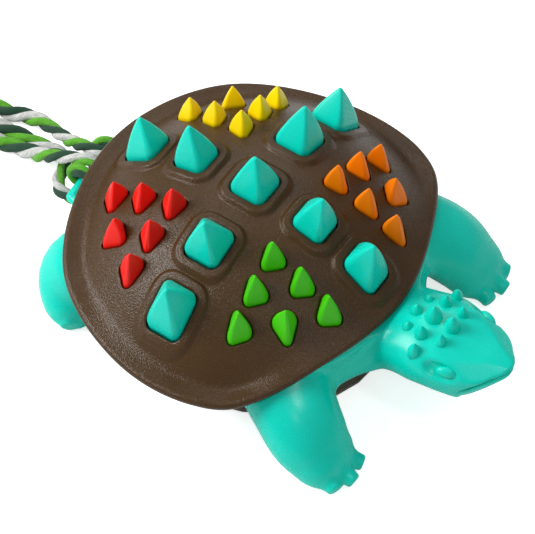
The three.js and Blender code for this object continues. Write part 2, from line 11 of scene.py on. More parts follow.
import bpy
import numpy as np
import openvdb
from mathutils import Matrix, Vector
from mathutils.geometry import delaunay_2d_cdt


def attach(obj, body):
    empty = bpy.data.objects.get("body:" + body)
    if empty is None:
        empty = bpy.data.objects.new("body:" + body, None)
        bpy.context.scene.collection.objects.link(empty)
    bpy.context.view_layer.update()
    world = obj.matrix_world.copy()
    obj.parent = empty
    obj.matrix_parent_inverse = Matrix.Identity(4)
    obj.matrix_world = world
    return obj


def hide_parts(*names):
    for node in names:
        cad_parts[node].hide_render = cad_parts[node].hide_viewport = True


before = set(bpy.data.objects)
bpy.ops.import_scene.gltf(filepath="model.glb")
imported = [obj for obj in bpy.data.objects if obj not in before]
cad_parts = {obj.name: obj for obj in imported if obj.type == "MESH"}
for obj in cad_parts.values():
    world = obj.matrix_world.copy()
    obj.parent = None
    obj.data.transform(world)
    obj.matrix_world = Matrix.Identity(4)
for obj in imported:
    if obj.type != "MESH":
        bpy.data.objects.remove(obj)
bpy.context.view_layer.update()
scene = bpy.context.scene
MM = 0.001

# %% [markdown]
# ## Tools for arrays
#
# A surface is an array of points and an array of corner numbers. Blender takes both in one go
# with `foreach_set`, which is much faster than adding one face at a time. Most pieces are stacks
# of rings, joined by four-sided faces and closed by caps.

# %% Arrays to meshes
def make_piece(name, points, faces, materials, body, looks=None, lay=None):
    """Make an object from points in millimetres and a list of face arrays.

    looks numbers each array's material, and lay is each point's place on a straight strand.
    """
    mesh = bpy.data.meshes.new(name)
    points = np.asarray(points, dtype=np.float32) * MM
    looks = looks or [0] * len(faces)
    counts = np.concatenate([np.full(len(f), f.shape[1]) for f in faces])
    corners = np.concatenate([f.ravel() for f in faces])
    index = np.concatenate([np.full(len(f), look) for f, look in zip(faces, looks)])
    mesh.vertices.add(len(points))
    mesh.vertices.foreach_set("co", points.ravel())
    mesh.loops.add(len(corners))
    mesh.loops.foreach_set("vertex_index", corners.astype(np.int32))
    mesh.polygons.add(len(counts))
    starts = np.concatenate([[0], np.cumsum(counts)[:-1]])
    mesh.polygons.foreach_set("loop_start", starts.astype(np.int32))
    for material in materials:
        mesh.materials.append(material)
    mesh.polygons.foreach_set("material_index", index.astype(np.int32))
    mesh.polygons.foreach_set("use_smooth", np.full(len(counts), True))
    mesh.update(calc_edges=True)
    if lay is not None:
        along = mesh.attributes.new("lay", "FLOAT_VECTOR", "POINT")
        along.data.foreach_set("vector", np.asarray(lay, dtype=np.float32).ravel())
    mesh.validate()
    piece = bpy.data.objects.new(name, mesh)
    scene.collection.objects.link(piece)
    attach(piece, body)
    print(name, len(points), "points", len(counts), "faces")
    return piece


# %% Faces of stacks and plates
STACK_PARTS = 3


def join_stacks(stacks, first=0):
    """Join stacks of rings into points, numbered from first, and faces: a grid and two caps for each."""
    points, faces = [], []
    for rings in stacks:
        rows, columns = rings.shape[:2]
        number = first + np.arange(rows * columns).reshape(rows, columns)
        following = np.roll(number, -1, axis=1)
        grid = np.stack([number[:-1], following[:-1], following[1:], number[1:]], axis=-1)
        faces += [grid.reshape(-1, 4), number[:1, ::-1], number[-1:]]
        points.append(rings.reshape(-1, 3))
        first += number.size
    return np.concatenate(points), faces


def plate_faces(rows, columns, first):
    """Faces of a thin plate: a grid of points, the same grid below it, and a strip round the edge."""
    number = np.arange(rows * columns).reshape(rows, columns)
    corners = [number[:-1, :-1], number[1:, :-1], number[1:, 1:], number[:-1, 1:]]
    upper = np.stack(corners, axis=-1).reshape(-1, 4)
    around = np.concatenate([number[0, :-1], number[:-1, -1], number[-1, :0:-1], number[:0:-1, 0]])
    following = np.roll(around, -1)
    strip = np.stack([around, following, following + number.size, around + number.size], axis=-1)
    return [upper + first, upper[:, ::-1] + first + number.size, strip + first]


def by_corners(faces):
    """Group faces by their number of corners, since one array holds only one kind."""
    kinds = sorted({f.shape[1] for f in faces})
    return [np.concatenate([f for f in faces if f.shape[1] == kind]) for kind in kinds]


# %% Smooth curves and steps
def smooth_curve(points, per_span, closed=False):
    """Points on a centripetal Catmull-Rom curve: a cubic through every given point, without overshoot."""
    points = np.asarray(points, dtype=float)
    if closed:
        around = np.concatenate([points[-1:], points, points[:2]])
    else:
        around = np.concatenate([[2 * points[0] - points[1]], points, [2 * points[-1] - points[-2]]])
    gaps = np.sqrt(np.linalg.norm(np.diff(around, axis=0), axis=1))[:, None]
    p0, p1, p2, p3 = around[:-3], around[1:-2], around[2:-1], around[3:]
    d0, d1, d2 = gaps[:-2], gaps[1:-1], gaps[2:]
    start = ((p1 - p0) / d0 - (p2 - p0) / (d0 + d1) + (p2 - p1) / d1) * d1
    end = ((p2 - p1) / d1 - (p3 - p1) / (d1 + d2) + (p3 - p2) / d2) * d1
    t = (np.arange(per_span) / per_span)[None, :, None]
    p1, p2, start, end = (v[:, None, :] for v in (p1, p2, start, end))
    curve = p1 + start * t + (3 * (p2 - p1) - 2 * start - end) * t**2 + (2 * (p1 - p2) + start + end) * t**3
    curve = curve.reshape(-1, points.shape[1])
    return curve if closed else np.concatenate([curve, points[-1:]])


def directions(angle):
    """Unit vectors in the plan at angles."""
    return np.stack([np.cos(angle), np.sin(angle)], axis=-1)


def smooth_step(low, high, value):
    """Go from 0 at low to 1 at high along a cubic that is level at both ends."""
    share = np.clip((value - low) / (high - low), 0, 1)
    return share * share * (3 - 2 * share)


# %% [markdown]
# ## Colours and finishes
#
# A colour picked from a picture is in display values, and a shader needs linear ones.
# The toy's materials mix a little noise into colour and bump, the moulded ones into roughness too, so that
# no face is flat and dead.
# A few helpers keep the node trees short.

# %% Colours and nodes
def shaded(colour, share):
    """A display colour from 0 to 255 times a share, turned into linear values."""
    value = np.minimum(np.array(colour) * share, 255) / 255
    low, high = value / 12.92, ((value + 0.055) / 1.055) ** 2.4
    return (*np.where(value <= 0.04045, low, high).tolist(), 1.0)


def set_inputs(node, **values):
    """Set a node's inputs by name, with _ for a space."""
    for name, value in values.items():
        node.inputs[name.replace("_", " ")].default_value = value


def new_node(tree, kind, **values):
    """Add a shader node of a kind and set its inputs."""
    node = tree.nodes.new("ShaderNode" + kind)
    set_inputs(node, **values)
    return node


def new_material(name):
    """A material, its node tree and its main shader."""
    material = bpy.data.materials.new(name)
    material.use_nodes = True
    return material, material.node_tree, material.node_tree.nodes["Principled BSDF"]


def wire(tree, *links):
    """Join nodes. A link is a node and its output, then a node and its input."""
    for source, output, target, taken in links:
        tree.links.new(source.outputs[output], target.inputs[taken])


# %% [markdown]
# A mould leaves a fine grain. It could be painted, but noise on Object coordinates has no seams and needs
# no UV map. It is one node group, which every moulded material uses with its own size and height.

# %% Grain
def grain_group():
    """A node group: noise of a given size, out as a value round one half and as a bumped normal."""
    tree = bpy.data.node_groups.new("Grain", "ShaderNodeTree")
    for name, way, kind in [
        ("Scale", "INPUT", "Float"), ("Height", "INPUT", "Float"),
        ("Value", "OUTPUT", "Float"), ("Normal", "OUTPUT", "Vector"),
    ]:
        tree.interface.new_socket(name, in_out=way, socket_type="NodeSocket" + kind)
    given, result = tree.nodes.new("NodeGroupInput"), tree.nodes.new("NodeGroupOutput")
    place = new_node(tree, "TexCoord")
    noise = new_node(tree, "TexNoise", Detail=0.5, Roughness=0.6)
    bump = new_node(tree, "Bump")
    wire(
        tree,
        (place, "Object", noise, "Vector"), (given, "Scale", noise, "Scale"),
        (noise, "Fac", bump, "Height"), (given, "Height", bump, "Distance"),
        (noise, "Fac", result, "Value"), (bump, "Normal", result, "Normal"),
    )
    return tree


grain = grain_group()
print("grain:", len(grain.nodes), "nodes")

# %% [markdown]
# The shells are hard nylon with a gloss and a leathery grain. The turtle and its spikes are soft rubber,
# which lets a little light in under the skin. The screws are steel. All of them are one function
# with different values.

# %% Moulded materials
ROUGHNESS_DRIFT = 0.07


def moulded(name, colour, roughness, grain_size, grain_height, spread, subsurface=0.0, metallic=0.0):
    """A moulded material: one colour with a fine grain that also moves the roughness a little, and a slow
    drift in colour.
    """
    material, tree, shader = new_material(name)
    fine = new_node(tree, "Group")
    fine.node_tree = grain
    set_inputs(fine, Scale=1 / (grain_size * MM), Height=grain_height * MM)
    place = new_node(tree, "TexCoord")
    broad = new_node(tree, "TexNoise", Scale=45)
    mix = new_node(tree, "MixRGB", Color1=shaded(colour, 1 - spread), Color2=shaded(colour, 1 + spread))
    low, high = roughness - ROUGHNESS_DRIFT, roughness + ROUGHNESS_DRIFT
    rough = new_node(tree, "MapRange", To_Min=low, To_Max=high)
    wire(
        tree,
        (place, "Object", broad, "Vector"), (broad, "Fac", mix, "Fac"), (mix, "Color", shader, "Base Color"),
        (fine, "Value", rough, "Value"), (rough, "Result", shader, "Roughness"),
        (fine, "Normal", shader, "Normal"),
    )
    set_inputs(
        shader, Metallic=metallic, Specular_IOR_Level=0.26, Subsurface_Weight=subsurface,
        Subsurface_Radius=(0.004, 0.004, 0.004), Subsurface_Scale=0.3,
    )
    return material


spike_colours = {
    "orange": (248, 128, 4), "yellow": (250, 212, 2), "red": (236, 30, 20), "green": (66, 194, 12),
}
nylon = moulded("brown_nylon", (67, 46, 22), 0.27, 0.4, 0.17, 0.06)
teal = moulded("teal_rubber", (2, 205, 184), 0.26, 0.6, 0.006, 0.03, subsurface=0.12)
spike_looks = {
    name: moulded(name + "_rubber", colour, 0.34, 0.6, 0.006, 0.03, subsurface=0.1)
    for name, colour in spike_colours.items()
}
steel = moulded("screw_steel", (150, 152, 155), 0.3, 0.5, 0.01, 0.05, metallic=1.0)
for name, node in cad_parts.items():
    if name.startswith("belly_screw"):
        node.data.materials.clear()
        node.data.materials.append(steel)
print("materials:", len(bpy.data.materials))

# %% [markdown]
# ## The rope
#
# The rope is one curve through the points of its route: a short end, turns round the tail's bar, a loop
# to hold, and turns back on the bar. The turns are worked out, and the other points are given one by one,
# because the rope lies as it fell. FLOOR is the height of its middle where it lies.

# %% Rope route
BAR_X, BAR_Z, WRAP, PITCH, WRAP_STEP = -66.0, 17.0, 5.35, 5.15, 45
SPAN, FLOOR = 14, 3.0


def winding(start, end, y, side):
    """Turns round the tail's bar between two angles in degrees, which creep by a rope's width a turn."""
    degrees = np.linspace(start, end, round((start - end) / WRAP_STEP) + 1)
    turn = np.radians(degrees)
    along = y + side * PITCH * (90 - degrees) / 360
    return np.column_stack([BAR_X + WRAP * np.cos(turn), along, BAR_Z + WRAP * np.sin(turn)]).tolist()


short_end = [
    [-126, -7, FLOOR], [-119, -4, FLOOR], [-111, -1, FLOOR],
    [-103, 0.7, 3.2], [-96, 1, 4.8], [-89.6, 0.2, 8.4],
]
over_bar = [[-82.6, -1.5, 14.4], [-75.6, -1.5, 18.8]]
crossing = [
    [-69.6, -10.2, 10.8], [-75.4, -8.6, 10], [-78.6, -3.6, 9.4], [-80.4, 1.4, 8.6], [-84.6, 5.2, 6.8],
]
handle_out = [
    [-90.6, 6.7, 4.4], [-98, 6.4, FLOOR], [-106, 5.9, FLOOR], [-116, 4.4, FLOOR], [-127, 2, FLOOR],
    [-138, 1.4, FLOOR], [-147, 4.6, FLOOR], [-151, 12, FLOOR], [-146.6, 19, FLOOR], [-138, 20.4, FLOOR],
    [-129, 16.4, FLOOR], [-121, 12.4, FLOOR], [-113.6, 11.8, FLOOR], [-106, 14.2, 3.2], [-98.4, 13.4, 6],
]
handle_back = [[-90.6, 10.6, 9.4], [-82.6, 7.6, 13.6], [-76.4, 5.4, 18.2], [-72.4, 4.2, 20.7]]
right_turns = winding(105, -450, -1.1, -1)
left_turns = winding(105, -330, 4.2, 1)
route = short_end + over_bar + right_turns + crossing + handle_out + handle_back + left_turns
rope_line = smooth_curve(route, SPAN)
hitch_start = len(short_end)
handle_start = hitch_start + len(over_bar) + len(right_turns) + len(crossing)
handle_end = handle_start + len(handle_out) - 1
route_end = len(route) - 1
print("route:", len(route), "points, and", len(rope_line), "on the curve")

# %% [markdown]
# The real rope is laid from three strands. A curve with a bevel would make one smooth cord, so each strand
# is a tube of its own that winds round the route. A frame that is carried along without spin keeps
# the twist even. Each point also keeps its place on a straight strand, for the noise of the fibres.

# %% Strands
STRANDS, STRAND_SIDES, STRAND_PLACE, STRAND_RADIUS = 3, 12, 0.46, 0.56
TWIST_LENGTH, STRAND_SHIFT = 24.0, 100
upright = np.array([0.0, 0.0, 1.0])


def lengths_along(line):
    """Distance from the first point to each point of a line."""
    return np.concatenate([[0], np.cumsum(np.linalg.norm(np.diff(line, axis=0), axis=1))])


def frames_along(line):
    """Two directions across a line at each point, carried along it without spin."""
    ahead = np.gradient(line, axis=0)
    ahead = ahead / np.linalg.norm(ahead, axis=1)[:, None]
    side = np.cross(ahead[0], upright)
    sides = []
    for step in ahead:
        side = side - step * (side @ step)
        side = side / np.linalg.norm(side)
        sides.append(side)
    sides = np.array(sides)
    return sides, np.cross(ahead, sides)


def twisted(line, radius):
    """Rings of three strands round a line, and each point's cosine, sine and length on a straight one."""
    radius = np.broadcast_to(radius, len(line))[:, None, None]
    side, up = (v[:, None, :] for v in frames_along(line))
    along = lengths_along(line)
    swing = 2 * np.pi * np.arange(STRAND_SIDES) / STRAND_SIDES
    strands, places = [], []
    for k in range(STRANDS):
        turn = (-2 * np.pi * along / TWIST_LENGTH + 2 * np.pi * k / STRANDS)[:, None, None]
        middle = line[:, None, :] + STRAND_PLACE * radius * (np.cos(turn) * side + np.sin(turn) * up)
        around = turn + swing[None, :, None]
        strands.append(middle + STRAND_RADIUS * radius * (np.cos(around) * side + np.sin(around) * up))
        steps, angles = np.meshgrid(along + STRAND_SHIFT * k, swing, indexing="ij")
        places.append(np.stack([np.cos(angles), np.sin(angles), steps], axis=-1))
    return strands, places


def rope_piece(name, strands, places, first, last):
    """A stretch of the three strands between two of their rings."""
    points, faces = join_stacks([s[first:last + 1] for s in strands])
    looks = [k for k in range(STRANDS) for part in range(STACK_PARTS)]
    lay = np.concatenate([p[first:last + 1].reshape(-1, 3) for p in places])
    return make_piece(name + "_visual", points, faces, rope_looks, "rope", looks, lay)


# %% [markdown]
# Cotton shows fine fibres along each strand. A picture of them would need a UV map, so noise is stretched
# along the strand instead. The shader reads the attribute `lay`, so that the streaks follow the twist.
# The dark streaks are also the low ones.

# %% Rope material
def cotton(name, colour):
    """Twisted cotton: noise stretched along the strand by its lay, in colour and bump."""
    material, tree, shader = new_material(name)
    place = new_node(tree, "Attribute")
    place.attribute_name = "lay"
    stretch = new_node(tree, "VectorMath")
    stretch.operation = "MULTIPLY"
    stretch.inputs[1].default_value = (2.6, 2.6, 0.16)
    noise = new_node(tree, "TexNoise", Scale=3.0, Detail=4, Roughness=0.7)
    ramp = new_node(tree, "MapRange", From_Min=0.3, From_Max=0.7)
    mix = new_node(tree, "MixRGB", Color1=shaded(colour, 0.6), Color2=shaded(colour, 1.12))
    bump = new_node(tree, "Bump", Distance=0.6 * MM)
    wire(
        tree,
        (place, "Vector", stretch, 0), (stretch, "Vector", noise, "Vector"),
        (noise, "Fac", ramp, "Value"), (ramp, "Result", mix, "Fac"), (mix, "Color", shader, "Base Color"),
        (noise, "Fac", bump, "Height"), (bump, "Normal", shader, "Normal"),
    )
    set_inputs(shader, Roughness=0.85, Sheen_Weight=0.08)
    return material


rope_looks = [
    cotton("cotton_dark_green", (14, 72, 44)),
    cotton("cotton_white", (240, 240, 226)),
    cotton("cotton_lime", (102, 192, 32)),
]
print("rope looks:", len(rope_looks))

# %% [markdown]
# The rope is thicker where nothing pulls it tight. It is cut into four pieces at points of the route,
# so that each takes the place of its own node of the frame.

# %% Rope pieces
ROPE_RADIUS, LOOSE_SHARE, END_PINCH = 2.4, 1.22, 0.2
step = np.arange(len(rope_line)) / SPAN
into_hitch = smooth_step(hitch_start - 1.5, hitch_start, step)
out_of_hitch = smooth_step(handle_start, handle_start + 2, step)
into_turns = smooth_step(handle_end - 1, handle_end + 1, step)
tight = into_hitch - out_of_hitch + into_turns
pinched = smooth_step(route_end - 3, route_end, step)
thickness = LOOSE_SHARE + (1 - LOOSE_SHARE) * tight - END_PINCH * pinched
strands, places = twisted(rope_line, ROPE_RADIUS * thickness)
names = ["rope_tail", "rope_hitch", "rope_handle", "rope_turns"]
cuts = [0, hitch_start, handle_start, handle_end, route_end]
for name, first, last in zip(names, cuts[:-1], cuts[1:]):
    rope_piece(name, strands, places, first * SPAN, last * SPAN)
    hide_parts(name)

# %% [markdown]
# The short end is stopped by a knot, here two tight turns of the rope round itself,
# with loose fibres behind it. Hair could make the fibres, but thin tubes are a plain mesh like the rest.
# Each has a little chance in its line.

# %% End knot and loose fibres
KNOT_LEVEL, KNOT_GAP, KNOT_LENGTH = 5.5, 2.2, 6.0
KNOT_TURNS, KNOT_COIL, KNOT_ROPE, KNOT_POINTS = 2.1, 3.0, 2.1, 70
FIBRES, FIBRE_SIDES, FIBRE_THICK, FIBRE_THIN = 90, 5, 0.26, 0.12
FIBRE_FROM, FIBRE_TO, FIBRE_UNEVEN, FIBRE_BOW = 8.0, 16.0, 2.6, 0.25
FIBRE_INNER, FIBRE_OUTER, FIBRE_SINK, FIBRE_LOWEST = 1.7, 3.3, 1.2, 0.6
FIBRE_LAY = 0.2
tail_ahead = rope_line[0] - rope_line[1]
tail_ahead = tail_ahead / np.linalg.norm(tail_ahead)
tail_side = np.cross(upright, tail_ahead)
knot_start = np.array([*rope_line[0][:2], KNOT_LEVEL])
share = np.linspace(0, 1, KNOT_POINTS)[:, None]
turn = 2 * np.pi * KNOT_TURNS * share - np.pi / 2
coil = knot_start + tail_ahead * (KNOT_GAP + KNOT_LENGTH * share)
coil = coil + KNOT_COIL * (np.cos(turn) * tail_side + np.sin(turn) * upright)
knot_strands, knot_places = twisted(coil, KNOT_ROPE)
end_knot = rope_piece("rope_end_knot", knot_strands, knot_places, 0, len(coil) - 1)
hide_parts("rope_end_knot")


def fibre(chance):
    """Rings of one loose fibre: a slightly bowed line from the knot's back to a tip that sinks."""
    turn, reach = chance.uniform(0, 2 * np.pi), np.sqrt(chance.uniform(0, 1))
    across = np.cos(turn) * tail_side + np.sin(turn) * upright
    start = knot_start + tail_ahead * FIBRE_FROM + across * FIBRE_INNER * reach
    length = FIBRE_TO + FIBRE_UNEVEN * chance.uniform()
    tip = knot_start + tail_ahead * length + across * FIBRE_OUTER * reach
    tip[2] = max(tip[2] - FIBRE_SINK, FIBRE_LOWEST)
    bow = (start + tip) / 2 + chance.normal(0, FIBRE_BOW, 3)
    line = smooth_curve([start, bow, tip], 4)
    side, up = (v[:, None, :] for v in frames_along(line))
    swing = (2 * np.pi * np.arange(FIBRE_SIDES) / FIBRE_SIDES)[None, :, None]
    thick = np.linspace(FIBRE_THICK, FIBRE_THIN, len(line))[:, None, None]
    return line[:, None, :] + thick * (np.cos(swing) * side + np.sin(swing) * up)


chance = np.random.default_rng(7)
points, faces = join_stacks([fibre(chance) for i in range(FIBRES)])
looks = [i % STRANDS for i in range(FIBRES) for part in range(STACK_PARTS)]
lay = points * FIBRE_LAY
fray = make_piece("rope_fray_visual", points, faces, rope_looks, "rope", looks, lay)
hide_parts("rope_fray")
print("rope:", round(lengths_along(rope_line)[-1]), "mm")

# %% [markdown]
# ## The dome
#
# Seen from above, the upper shell has a turtle's outline with shoulders. Its middle is a dome that drops
# with a power of the distance from the axis. A flatter lip runs from the dome's foot to the rim.
# The height is a formula and not a sculpted mesh, because teeth, pads and rubber follow it too.

# %% The shell's outline and height
CROWN, DOME_RADIUS, DOME_DROP, DOME_POWER = 57.5, 45.5, 14.2, 2.55
RIM_MIDDLE, RIM_SWAY, RIM_LIFT = 33.2, 4.6, 1.0
LIP_WIDTH, LIP_OVERLAP, CREASE_ROUND, CREASE_DROP = 7.0, 2, 2.2, 0.35
WALL = 3.2
shell_left = np.array([[56.4, 0], [48.6, 31], [30.2, 59.6], [-4, 65.6], [-43.6, 47], [-60, 0]])
shell_right = shell_left[-2:0:-1] * [1, -1]
outline_x, outline_y = smooth_curve(np.concatenate([shell_left, shell_right]), 60, closed=True).T
outline_angle, outline_radius = np.arctan2(outline_y, outline_x), np.hypot(outline_x, outline_y)
print("shell:", round(np.ptp(outline_x)), "by", round(np.ptp(outline_y)), "mm")


def shell_radius(angle):
    """Distance from the axis to the outline at an angle."""
    return np.interp(angle, outline_angle, outline_radius, period=2 * np.pi)


def round_dome(radius):
    """Height of the dome at a distance from its axis."""
    return CROWN - DOME_DROP * (radius / DOME_RADIUS) ** DOME_POWER


def dome_slope(radius):
    """How steeply the dome falls at a distance from its axis."""
    return DOME_DROP * DOME_POWER / DOME_RADIUS * (radius / DOME_RADIUS) ** (DOME_POWER - 1)


def shell_height(x, y):
    """The higher of the dome and the sloping lip, with the corner between them rounded off."""
    radius, angle = np.hypot(x, y), np.arctan2(y, x)
    edge = shell_radius(angle)
    foot = round_dome(edge - LIP_WIDTH)
    rim = np.minimum(RIM_MIDDLE + RIM_SWAY * np.cos(2 * angle), foot + RIM_LIFT)
    lip = rim + np.minimum(edge - radius, LIP_WIDTH + LIP_OVERLAP) * (foot - rim) / LIP_WIDTH
    dome = round_dome(radius)
    return (dome + lip + np.sqrt((dome - lip) ** 2 + CREASE_ROUND)) / 2 - CREASE_DROP


# %% [markdown]
# ## Where the teeth stand
#
# The pyramids make a cross along the spine and across it. Each quarter between the arms has rows of one,
# two and three spikes. A base holds a tooth's place, its number of sides, their length, the radius
# of its corners and its turn.

# %% Tooth places
PYRAMID_CORNER, SPIKE_SIDE, SPIKE_CORNER = 2.4, 10.4, 1.7
CROSS_SIDE, CROSS_PITCHES = 12.5, (25.6, 46.8)
SPINE_SIDE, SPINE_PITCHES = 11.3, (23.2, 43.1)
SPIKE_ROWS = [(26.8, 0), (36.3, 24), (46.0, 37)]
Base = namedtuple("Base", "x y sides side corner turn")


def pyramid_base(x, y, side):
    """A square base whose sides lie along the spine and across it."""
    return Base(x, y, 4, side, PYRAMID_CORNER, np.pi / 4)


def spike_bases(middle):
    """Six three-sided bases round an angle in degrees, in rows with a radius and a spread in degrees.

    One corner points to the crown, except on the spike in the middle of the last row.
    """
    bases = []
    for row, (radius, spread) in enumerate(SPIKE_ROWS):
        for k in range(row + 1):
            at = np.radians(middle + (k / row - 0.5) * spread if row else middle)
            turn = np.radians(middle) + (0 if row == 2 and k == 1 else np.pi)
            bases.append(Base(*(radius * directions(at)), 3, SPIKE_SIDE, SPIKE_CORNER, turn))
    return bases


quarters = {"orange": 43.4, "yellow": 134.0, "red": -134.0, "green": -43.4}
pyramids = [pyramid_base(0, 0, CROSS_SIDE)]
pyramids += [pyramid_base(0, side * y, CROSS_SIDE) for y in CROSS_PITCHES for side in (1, -1)]
pyramids += [pyramid_base(side * x, 0, SPINE_SIDE) for x in SPINE_PITCHES for side in (1, -1)]
teeth = pyramids + [base for middle in quarters.values() for base in spike_bases(middle)]
print("teeth:", len(teeth))

# %% [markdown]
# One rounded outline serves for a tooth's rings, its opening and the collar round it. One function gives
# points on it. Another gives the distance to it, to round edges and to keep points out of openings.

# %% Tooth outlines
HOLE_GAP = 0.4


def outline(sides, side, corner, per_corner, per_edge, turn):
    """Points round a regular polygon with rounded corners, the first corner at the angle turn."""
    middle = side / (2 * np.sin(np.pi / sides)) - corner / np.cos(np.pi / sides)
    heading = turn + 2 * np.pi * np.arange(sides)[:, None] / sides
    swing = heading + np.linspace(-np.pi, np.pi, per_corner) / sides
    corners = middle * directions(heading) + corner * directions(swing)
    following = np.roll(corners, -1, axis=0)
    share = (np.arange(1, per_edge) / per_edge)[None, :, None]
    edges = corners[:, -1:] + share * (following[:, :1] - corners[:, -1:])
    return np.concatenate([corners, edges], axis=1).reshape(-1, 2)


def outline_distance(x, y, sides, side, corner, turn):
    """Distance outside a rounded polygon: fold the plane into one slice and measure to its edge."""
    angle = np.arctan2(y, x) - turn
    folded = np.mod(angle + np.pi / sides, 2 * np.pi / sides) - np.pi / sides
    radius = np.hypot(x, y)
    along = radius * np.cos(np.pi / sides - np.abs(folded))
    across = radius * np.sin(np.pi / sides - np.abs(folded))
    half = side / 2 - corner * np.tan(np.pi / sides)
    flat = along - (side / (2 * np.tan(np.pi / sides)) - corner)
    beyond = np.maximum(np.abs(across) - half, 0)
    return np.where(flat > 0, np.hypot(np.maximum(flat, 0), beyond), np.maximum(flat, -corner)) - corner


def hole_distance(x, y, base):
    """Distance outside the opening round a base."""
    return outline_distance(x - base.x, y - base.y, *base[2:]) - HOLE_GAP


# %% [markdown]
# ## The upper shell
#
# The shell is one hard moulding with thirty-three openings. Boolean cuts would leave long thin triangles
# round them, which shade badly. So points are laid in rings round every opening, in a honeycomb between
# them and in bands along the lip. A Delaunay triangulation joins them, and the triangles inside
# the openings are left out. Values in braces go by an opening's number of sides.

# %% Plan of the upper shell
COLLAR_RISE, COLLAR_MARGIN, COLLAR_FLARE, COLLAR_CORNER = 1.5, 2.3, 1.9, 4.6
EDGE_ROUND, EDGE_POINTS = {4: 0.9, 3: 0.7}, {4: 9, 3: 6}
EDGE_STEPS = (0, 0.07, 0.22, 0.45, 0.75, 1.1, 1.9)
COLLAR_STEPS = (-0.3, 0.0, 0.3, 0.6, 0.95, 1.3, 1.6, 1.9, 2.3)
BAND_INSETS = (0.0, 0.5, 1.4, 2.4, 3.4, 4.4, 5.4, 6.4, 7.6, 9.2)
RIM_POINTS, RIM_CLEAR = 220, 0.3
COMB_PITCH, COMB_ROWS, COMB_COLUMNS, COMB_INSET = 1.5, 50, 44, 12
RING_CLEAR, FILLING_CLEAR = {4: 0.9, 3: 1.6}, {4: 5.6, 3: 2.6}
MERGE_WITHIN, RIM_SLACK, HOLE_SLACK = 1e-5, 0.02, 0.01


def collared_height(x, y):
    """Shell height with a raised collar round each pyramid and a rounded edge at every opening."""
    collar, dip = np.zeros_like(x), np.zeros_like(x)
    for base in teeth:
        radius = EDGE_ROUND[base.sides]
        if base.sides == 4:
            wider = base._replace(side=base.side + 2 * COLLAR_MARGIN, corner=COLLAR_CORNER)
            collar = np.maximum(collar, 1 - smooth_step(0, COLLAR_FLARE, hole_distance(x, y, wider)))
        near = np.clip(radius - hole_distance(x, y, base), 0, radius)
        dip = np.maximum(dip, radius - np.sqrt(radius**2 - near**2))
    return shell_height(x, y) + COLLAR_RISE * collar - dip


def edge_radius(points):
    """Distance from the axis to the outline, in the direction of each plan point."""
    return shell_radius(np.arctan2(points[:, 1], points[:, 0]))


def opening_rings():
    """The loop at the edge of each opening, and the rings of points round it and on its collar."""
    loops, rings = [], []
    for x, y, sides, side, corner, turn in teeth:
        for grow in EDGE_STEPS:
            wider = HOLE_GAP + grow
            bigger = side + 2 * wider * np.tan(np.pi / sides)
            ring = outline(sides, bigger, corner + wider, 6, EDGE_POINTS[sides], turn) + [x, y]
            (rings if grow else loops).append(ring)
        if sides == 4:
            for grow in COLLAR_STEPS:
                wider = HOLE_GAP + grow
                bigger = side + 2 * COLLAR_MARGIN + 2 * wider
                rings.append(outline(4, bigger, COLLAR_CORNER + wider, 9, 12, turn) + [x, y])
    return loops, rings


def clear_of_others(ring):
    """Points of a ring that lie inside the rim and keep away from the other openings."""
    inside = np.hypot(*ring.T) < edge_radius(ring) - WALL / 2 - RIM_CLEAR
    for base in teeth:
        if np.hypot(*(ring.mean(axis=0) - base[:2])) > 1:
            inside &= hole_distance(*ring.T, base) > RING_CLEAR[base.sides]
    return ring[inside]


def rim_and_filling():
    """The rim's loop, and points in a honeycomb and in bands along the lip, away from the openings."""
    angle = np.linspace(-np.pi, np.pi, RIM_POINTS, endpoint=False)
    edge = shell_radius(angle) - WALL / 2
    bands = [directions(angle) * (edge - inset)[:, None] for inset in BAND_INSETS]
    row, column = np.mgrid[-COMB_ROWS:COMB_ROWS + 1, -COMB_COLUMNS:COMB_COLUMNS + 1]
    comb = np.stack([COMB_PITCH * (row + 0.5 * (column % 2)), COMB_PITCH * np.sqrt(0.75) * column], axis=-1)
    comb = comb.reshape(-1, 2)
    comb = comb[np.hypot(*comb.T) < edge_radius(comb) - COMB_INSET]
    filling = np.concatenate([comb, *bands[1:]])
    clear = np.ones(len(filling), dtype=bool)
    for base in teeth:
        clear &= hole_distance(*filling.T, base) > FILLING_CLEAR[base.sides]
    return bands[0], filling[clear]


def shell_plan():
    """Plan points and triangles of the shell, each triangle turned to face up."""
    loops, rings = opening_rings()
    rim_loop, filling = rim_and_filling()
    fixed = [rim_loop, *loops]
    points = np.concatenate([*fixed, *map(clear_of_others, rings), filling])
    edges, first = [], 0
    for loop in fixed:
        index = first + np.arange(len(loop))
        edges += list(zip(index.tolist(), np.roll(index, -1).tolist()))
        first += len(loop)
    made = delaunay_2d_cdt([Vector(p) for p in points.tolist()], edges, [], 0, MERGE_WITHIN)
    plan, triangles = np.array([tuple(v) for v in made[0]]), np.array(made[2])
    middle = plan[triangles].mean(axis=1)
    wanted = np.hypot(*middle.T) < edge_radius(middle) - WALL / 2 + RIM_SLACK
    for base in teeth:
        wanted &= hole_distance(*middle.T, base) > -HOLE_SLACK
    used, triangles = np.unique(triangles[wanted], return_inverse=True)
    plan, triangles = plan[used], triangles.reshape(-1, 3)
    a, b, c = (plan[triangles[:, i]] for i in range(3))
    spun = np.cross(b - a, c - a)
    triangles[spun < 0] = triangles[spun < 0][:, ::-1]
    return plan, triangles


def border_pairs(triangles):
    """Edges that only one triangle has, each in that triangle's direction."""
    pairs = np.concatenate([triangles[:, [0, 1]], triangles[:, [1, 2]], triangles[:, [2, 0]]])
    _, index, count = np.unique(np.sort(pairs, axis=1), axis=0, return_index=True, return_counts=True)
    return pairs[index[count == 1]]


